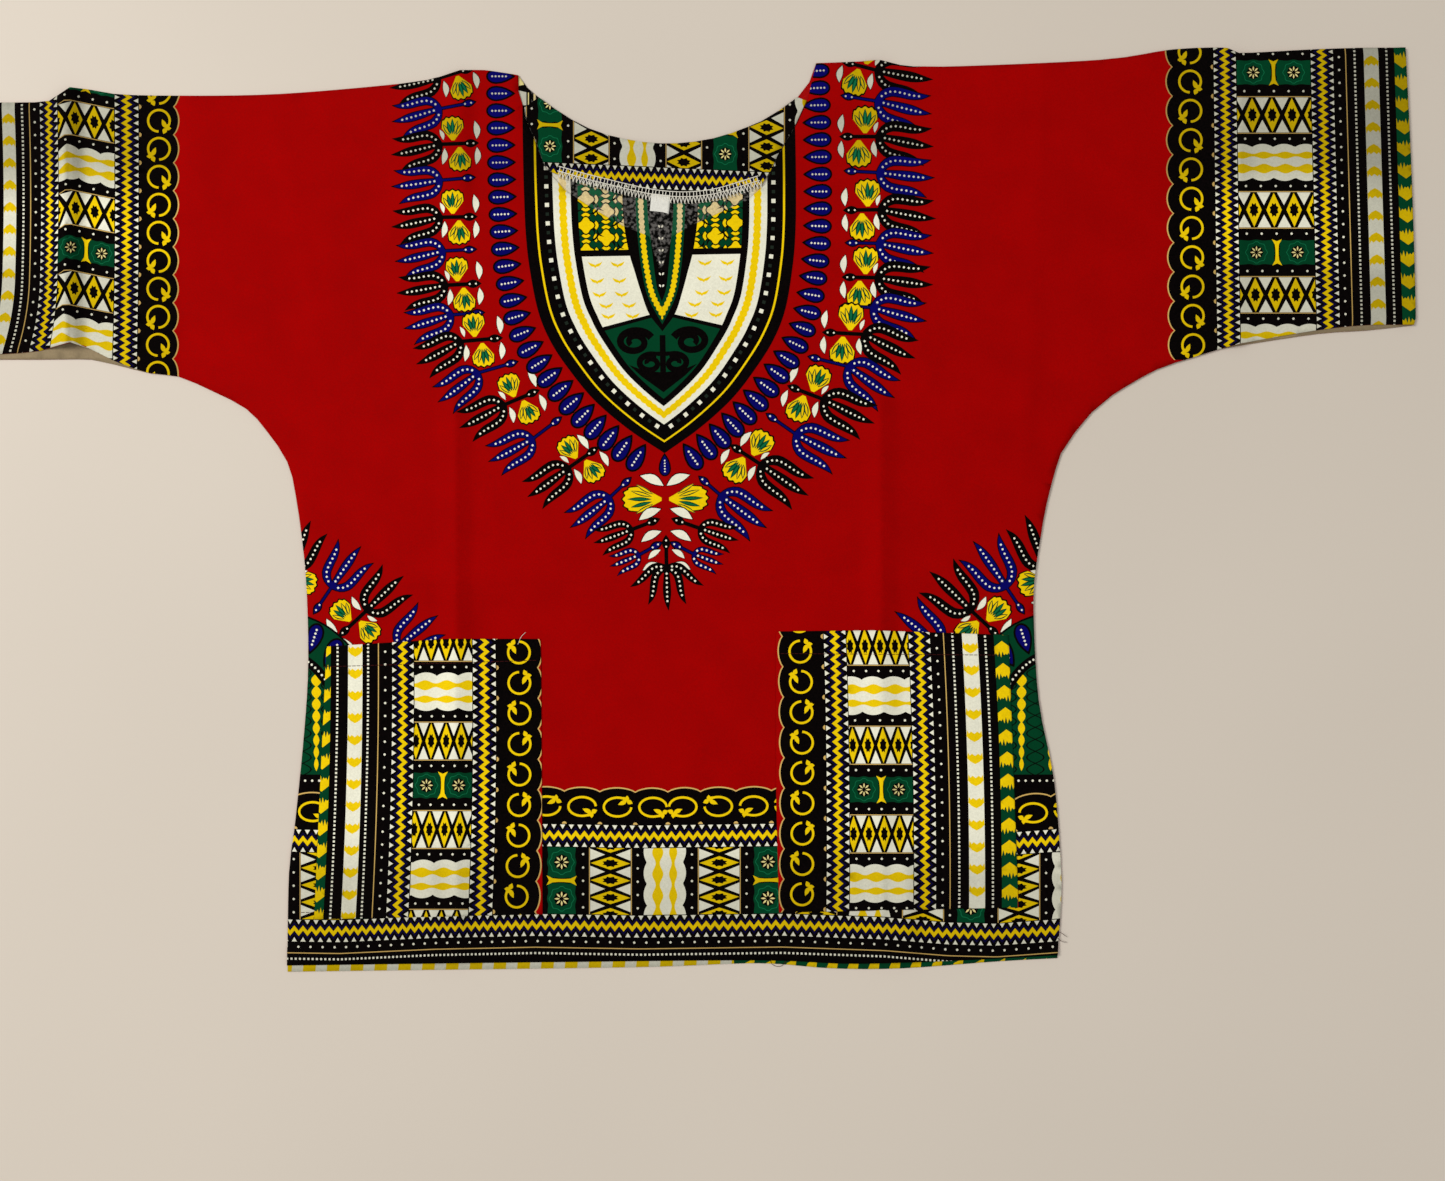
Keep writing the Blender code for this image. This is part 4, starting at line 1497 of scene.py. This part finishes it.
def facing_piece(back):
    loop = node_loop("back_neck_facing")
    piece = sheet_object("facing_cloth", loop, (facing_print(), "black", ""),
                         (None, "black", "wrong "), None, FACING_BASE)
    dress(piece, "back_neck_facing", (0.165, 0.062), loop_area(loop), rests_on=[back.name],
          with_pieces=[overlock()])
    return piece


# The size tab, from its upper end: mm along it from the facing's edge, and height
TAB_STATIONS = [(4.0, 1.40), (2.0, 1.42), (0.4, 1.40), (-0.8, 1.32), (-2.2, 0.85), (-3.4, 0.66),
                (-4.8, 0.62), (-5.6, 0.72), (-6.1, 0.98)]
TAB_X, TAB_Y, TAB_TILT, TAB_WIDTH, TAB_THICK = -18.0, 180.2, math.radians(6.0), 11.2, 0.3
TAB_COLUMNS = 9


def tab_piece(facing):
    """A short woven tape bent over the facing's edge, with nothing on it."""
    points, faces = [], []
    count = len(TAB_STATIONS) * TAB_COLUMNS
    for layer in (TAB_THICK, 0.0):
        for number, (along, z) in enumerate(TAB_STATIONS):
            for t in np.linspace(-0.5, 0.5, TAB_COLUMNS):
                curled = 0.55 * max(0.0, t - 0.2) * max(0.0, number - 4.0)
                x, y = turned([(t * TAB_WIDTH, along - 1.2 * curled)], TAB_X, TAB_Y, -TAB_TILT)[0]
                points.append((x * MM, y * MM, (z + layer + curled) * MM))
    for i in range(len(TAB_STATIONS) - 1):
        for j in range(TAB_COLUMNS - 1):
            a, b = i * TAB_COLUMNS + j, (i + 1) * TAB_COLUMNS + j
            faces.append((a, b, b + 1, a + 1))
            faces.append((a + count, a + count + 1, b + count + 1, b + count))
    rim = [*range(TAB_COLUMNS), *range(2 * TAB_COLUMNS - 1, count, TAB_COLUMNS),
           *range(count - 2, count - TAB_COLUMNS - 1, -1),
           *range(count - 2 * TAB_COLUMNS, 0, -TAB_COLUMNS)]
    for a, b in zip(rim, [*rim[1:], rim[0]]):
        faces.append((a, b, b + count, a + count))
    piece = mesh_object("size_tab_tape", points, faces, ["tape"] * len(faces))
    dress(piece, "size_tab", (0.0112, 0.0105), None, rests_on=[facing.name])


# Sewing threads

THREAD_SIDES = 5


def threads(name, lines, node_name, dye="thread", radius=0.19):
    """Threads along 3-D lines in mm, as round cords in one mesh."""
    points, faces = [], []
    for line in lines:
        line = np.array(line, float)
        way = np.gradient(line, axis=0)
        way /= np.linalg.norm(way, axis=1)[:, None]
        side = np.cross(way, (0.0, 0.0, 1.0))
        side /= np.linalg.norm(side, axis=1)[:, None]
        rise = np.cross(side, way)
        start = len(points)
        for centre, s, r in zip(line, side, rise):
            for k in range(THREAD_SIDES):
                a = 2 * math.pi * k / THREAD_SIDES
                points.append((centre + (s * math.cos(a) + r * math.sin(a)) * radius) * MM)
        for i in range(len(line) - 1):
            for k in range(THREAD_SIDES):
                a = start + i * THREAD_SIDES + k
                b = start + i * THREAD_SIDES + (k + 1) % THREAD_SIDES
                faces.append((a, a + THREAD_SIDES, b + THREAD_SIDES, b))
        faces.append(tuple(range(start, start + THREAD_SIDES)))
        faces.append(tuple(range(len(points) - 1, len(points) - THREAD_SIDES - 1, -1)))
    made = mesh_object(name, points, faces, [dye] * len(faces))
    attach(made, "root")
    return made


def on_front(x, y, over):
    """A point over the front's upper side, with over in mm."""
    high = float(front_height(np.array([x]), np.array([y]))[0])
    return x, y, FRONT_BASE + SHEET + high + over


def stitches(knots, over, length=2.7):
    """Lockstitches through the knots: short threads that dip into the cloth at their ends."""
    lines = []
    for (x, y), (nx, ny) in stations(smooth_path(knots, 4.0), length):
        half = 0.42 * length
        line = []
        for t, dip in ((-1.0, -0.16), (-0.6, 0.06), (0.0, 0.10), (0.6, 0.06), (1.0, -0.16)):
            line.append(on_front(x + ny * half * t, y - nx * half * t, over + dip))
        lines.append(line)
    return lines


def pocket_stitches(name):
    left, top_left, right, top_right, low_left, low_right = POCKET_SEAMS[name]
    over = POCKET_BASE - FRONT_BASE
    lines = stitches([(left + 1.8, top_left - 12.3), (right - 1.8, top_right - 12.3)], over)
    return threads(name + "_stitches", lines, name, "dark thread")


# Left x, top y there, right x, top y there, then the lower corners' y
POCKET_SEAMS = {
    "left_pocket": (-216.0, -79.3, -88.2, -75.5, -239.0, -236.0),
    "right_pocket": (50.3, -71.5, 185.2, -72.5, -235.0, -232.0),
}


def hem_stitches():
    lines = stitches([(-228.0, -235.0), (-190.0, -235.5)], 0.0)
    return threads("hem_stitches", lines, "front_panel", "dark thread")


def overlock():
    """White overlocking along the facing's lower edge: two rails, rungs between them, and loops
    out to the edge."""
    path = smooth_path(FACING_EDGE, 0.7)
    z = FACING_BASE + SHEET + 0.12
    lines = []
    for off in (6.2, 3.4):
        lines.append([(x + off * nx, y + off * ny, z + 0.2) for (x, y), (nx, ny) in
                      zip(path, normals_of(path))])
    for number, ((x, y), (nx, ny)) in enumerate(stations(path, 2.1)):
        wobble = 0.25 * math.sin(2.6 * number)
        rung = [(x + nx * 6.4, y + ny * 6.4, z), (x + nx * 4.8 + wobble, y + ny * 4.8, z + 0.15),
                (x + nx * 3.2, y + ny * 3.2, z)]
        loop = [(x + nx * 3.5, y + ny * 3.5, z + 0.05), (x + nx * 1.6 + 0.5, y + ny * 1.6, z + 0.12),
                (x - 0.2 * nx + 1.0, y - 0.25 * ny, z - 0.05), (x - nx * 0.5 + 1.5, y - ny * 0.5, z - 0.4)]
        back_loop = [(x + nx * 3.4 + 1.9, y + ny * 3.4, z), (x + nx * 1.4 + 1.3, y + ny * 1.4, z),
                     (x + 0.9, y - 0.4 * ny + wobble, z - 0.2)]
        lines += [rung, loop, back_loop]
    return threads("facing_overlock", lines, "back_neck_facing", "thread", 0.26)


# Loose ends of sewing thread: x, y and the height over the front, all in mm
LOOSE_ENDS = [
    ("thread", [(-101.0, -78.5, 0.8), (-99.4, -74.5, 0.6), (-96.6, -71.4, 0.2)]),
    ("dark thread", [(213.5, -249.5, 0.2), (216.5, -252.0, 0.1), (219.5, -252.6, -1.2)]),
    ("dark thread", [(214.0, -246.0, 0.2), (217.0, -247.6, 0.1), (219.6, -249.6, -1.2)]),
    ("dark thread", [(45.5, -262.0, -0.4), (48.0, -266.2, -1.6), (52.4, -266.8, -1.6), (55.5, -263.4, -0.6)]),
]


def loose_ends():
    made = []
    for number, (dye, knots) in enumerate(LOOSE_ENDS):
        line = [on_front(*knot) for knot in smooth_path(knots, 1.0)]
        made.append(threads(f"loose_end_{number}", [line], "front_panel", dye, 0.14))
    return made


# Floor, light and camera

def floor():
    mesh = bpy.data.meshes.new("floor")
    reach = 3.0
    mesh.from_pydata([(-reach, -reach, 0), (reach, -reach, 0), (reach, reach, 0), (-reach, reach, 0)],
                     [], [(0, 1, 2, 3)])
    board = bpy.data.objects.new("floor", mesh)
    bpy.context.scene.collection.objects.link(board)
    material = bpy.data.materials.new("pale_board")
    material.use_nodes = True
    tree = material.node_tree
    shader = tree.nodes["Principled BSDF"]
    where = node(tree, "ShaderNodeTexCoord").outputs["Object"]
    shade = ranged(tree, noise(tree, where, 2.2, 2.0), 0.3, 0.7, 0.97, 1.03)
    tint = node(tree, "ShaderNodeVectorMath", operation="SCALE")
    tint.inputs[0].default_value = (0.60, 0.545, 0.475)
    link(tree, shade, tint.inputs["Scale"])
    link(tree, tint.outputs[0], shader.inputs["Base Color"])
    shader.inputs["Roughness"].default_value = 0.6
    shader.inputs["Specular IOR Level"].default_value = 0.25
    mesh.materials.append(material)
    board.location.z = -0.0003


def lamp(name, place, aim, size, power, colour):
    data = bpy.data.lights.new(name, "AREA")
    data.shape = "DISK"
    data.size = size
    data.energy = power
    data.color = colour
    made = bpy.data.objects.new(name, data)
    made.location = place
    made.rotation_euler = (Vector(aim) - Vector(place)).to_track_quat("-Z", "Y").to_euler()
    bpy.context.scene.collection.objects.link(made)


def light_and_camera():
    scene = bpy.context.scene
    world = bpy.data.worlds.new("studio")
    world.use_nodes = True
    world.node_tree.nodes["Background"].inputs["Color"].default_value = (1.0, 0.97, 0.93, 1.0)
    world.node_tree.nodes["Background"].inputs["Strength"].default_value = 0.40
    scene.world = world
    scene.view_settings.view_transform = "Standard"
    lamp("window", (-1.6, 0.5, 1.9), (0.0, 0.0, 0.0), 1.1, 46.5, (1.0, 0.97, 0.93))
    lamp("fill", (1.2, -0.6, 2.2), (0.0, 0.0, 0.0), 1.6, 12.0, (1.0, 0.98, 0.96))
    data = bpy.data.cameras.new("camera")
    data.lens = LENS
    data.sensor_width = SENSOR
    camera = bpy.data.objects.new("camera", data)
    camera.location = (CAMERA_X, CAMERA_Y, CAMERA_Z)
    scene.collection.objects.link(camera)
    scene.camera = camera


def main():
    back = back_piece()
    front = front_piece(back)
    tab_piece(facing_piece(back))
    pocket_piece("left_pocket", left_pocket_print(), front)
    pocket_piece("right_pocket", right_pocket_print(), front)
    floor()
    light_and_camera()


main()
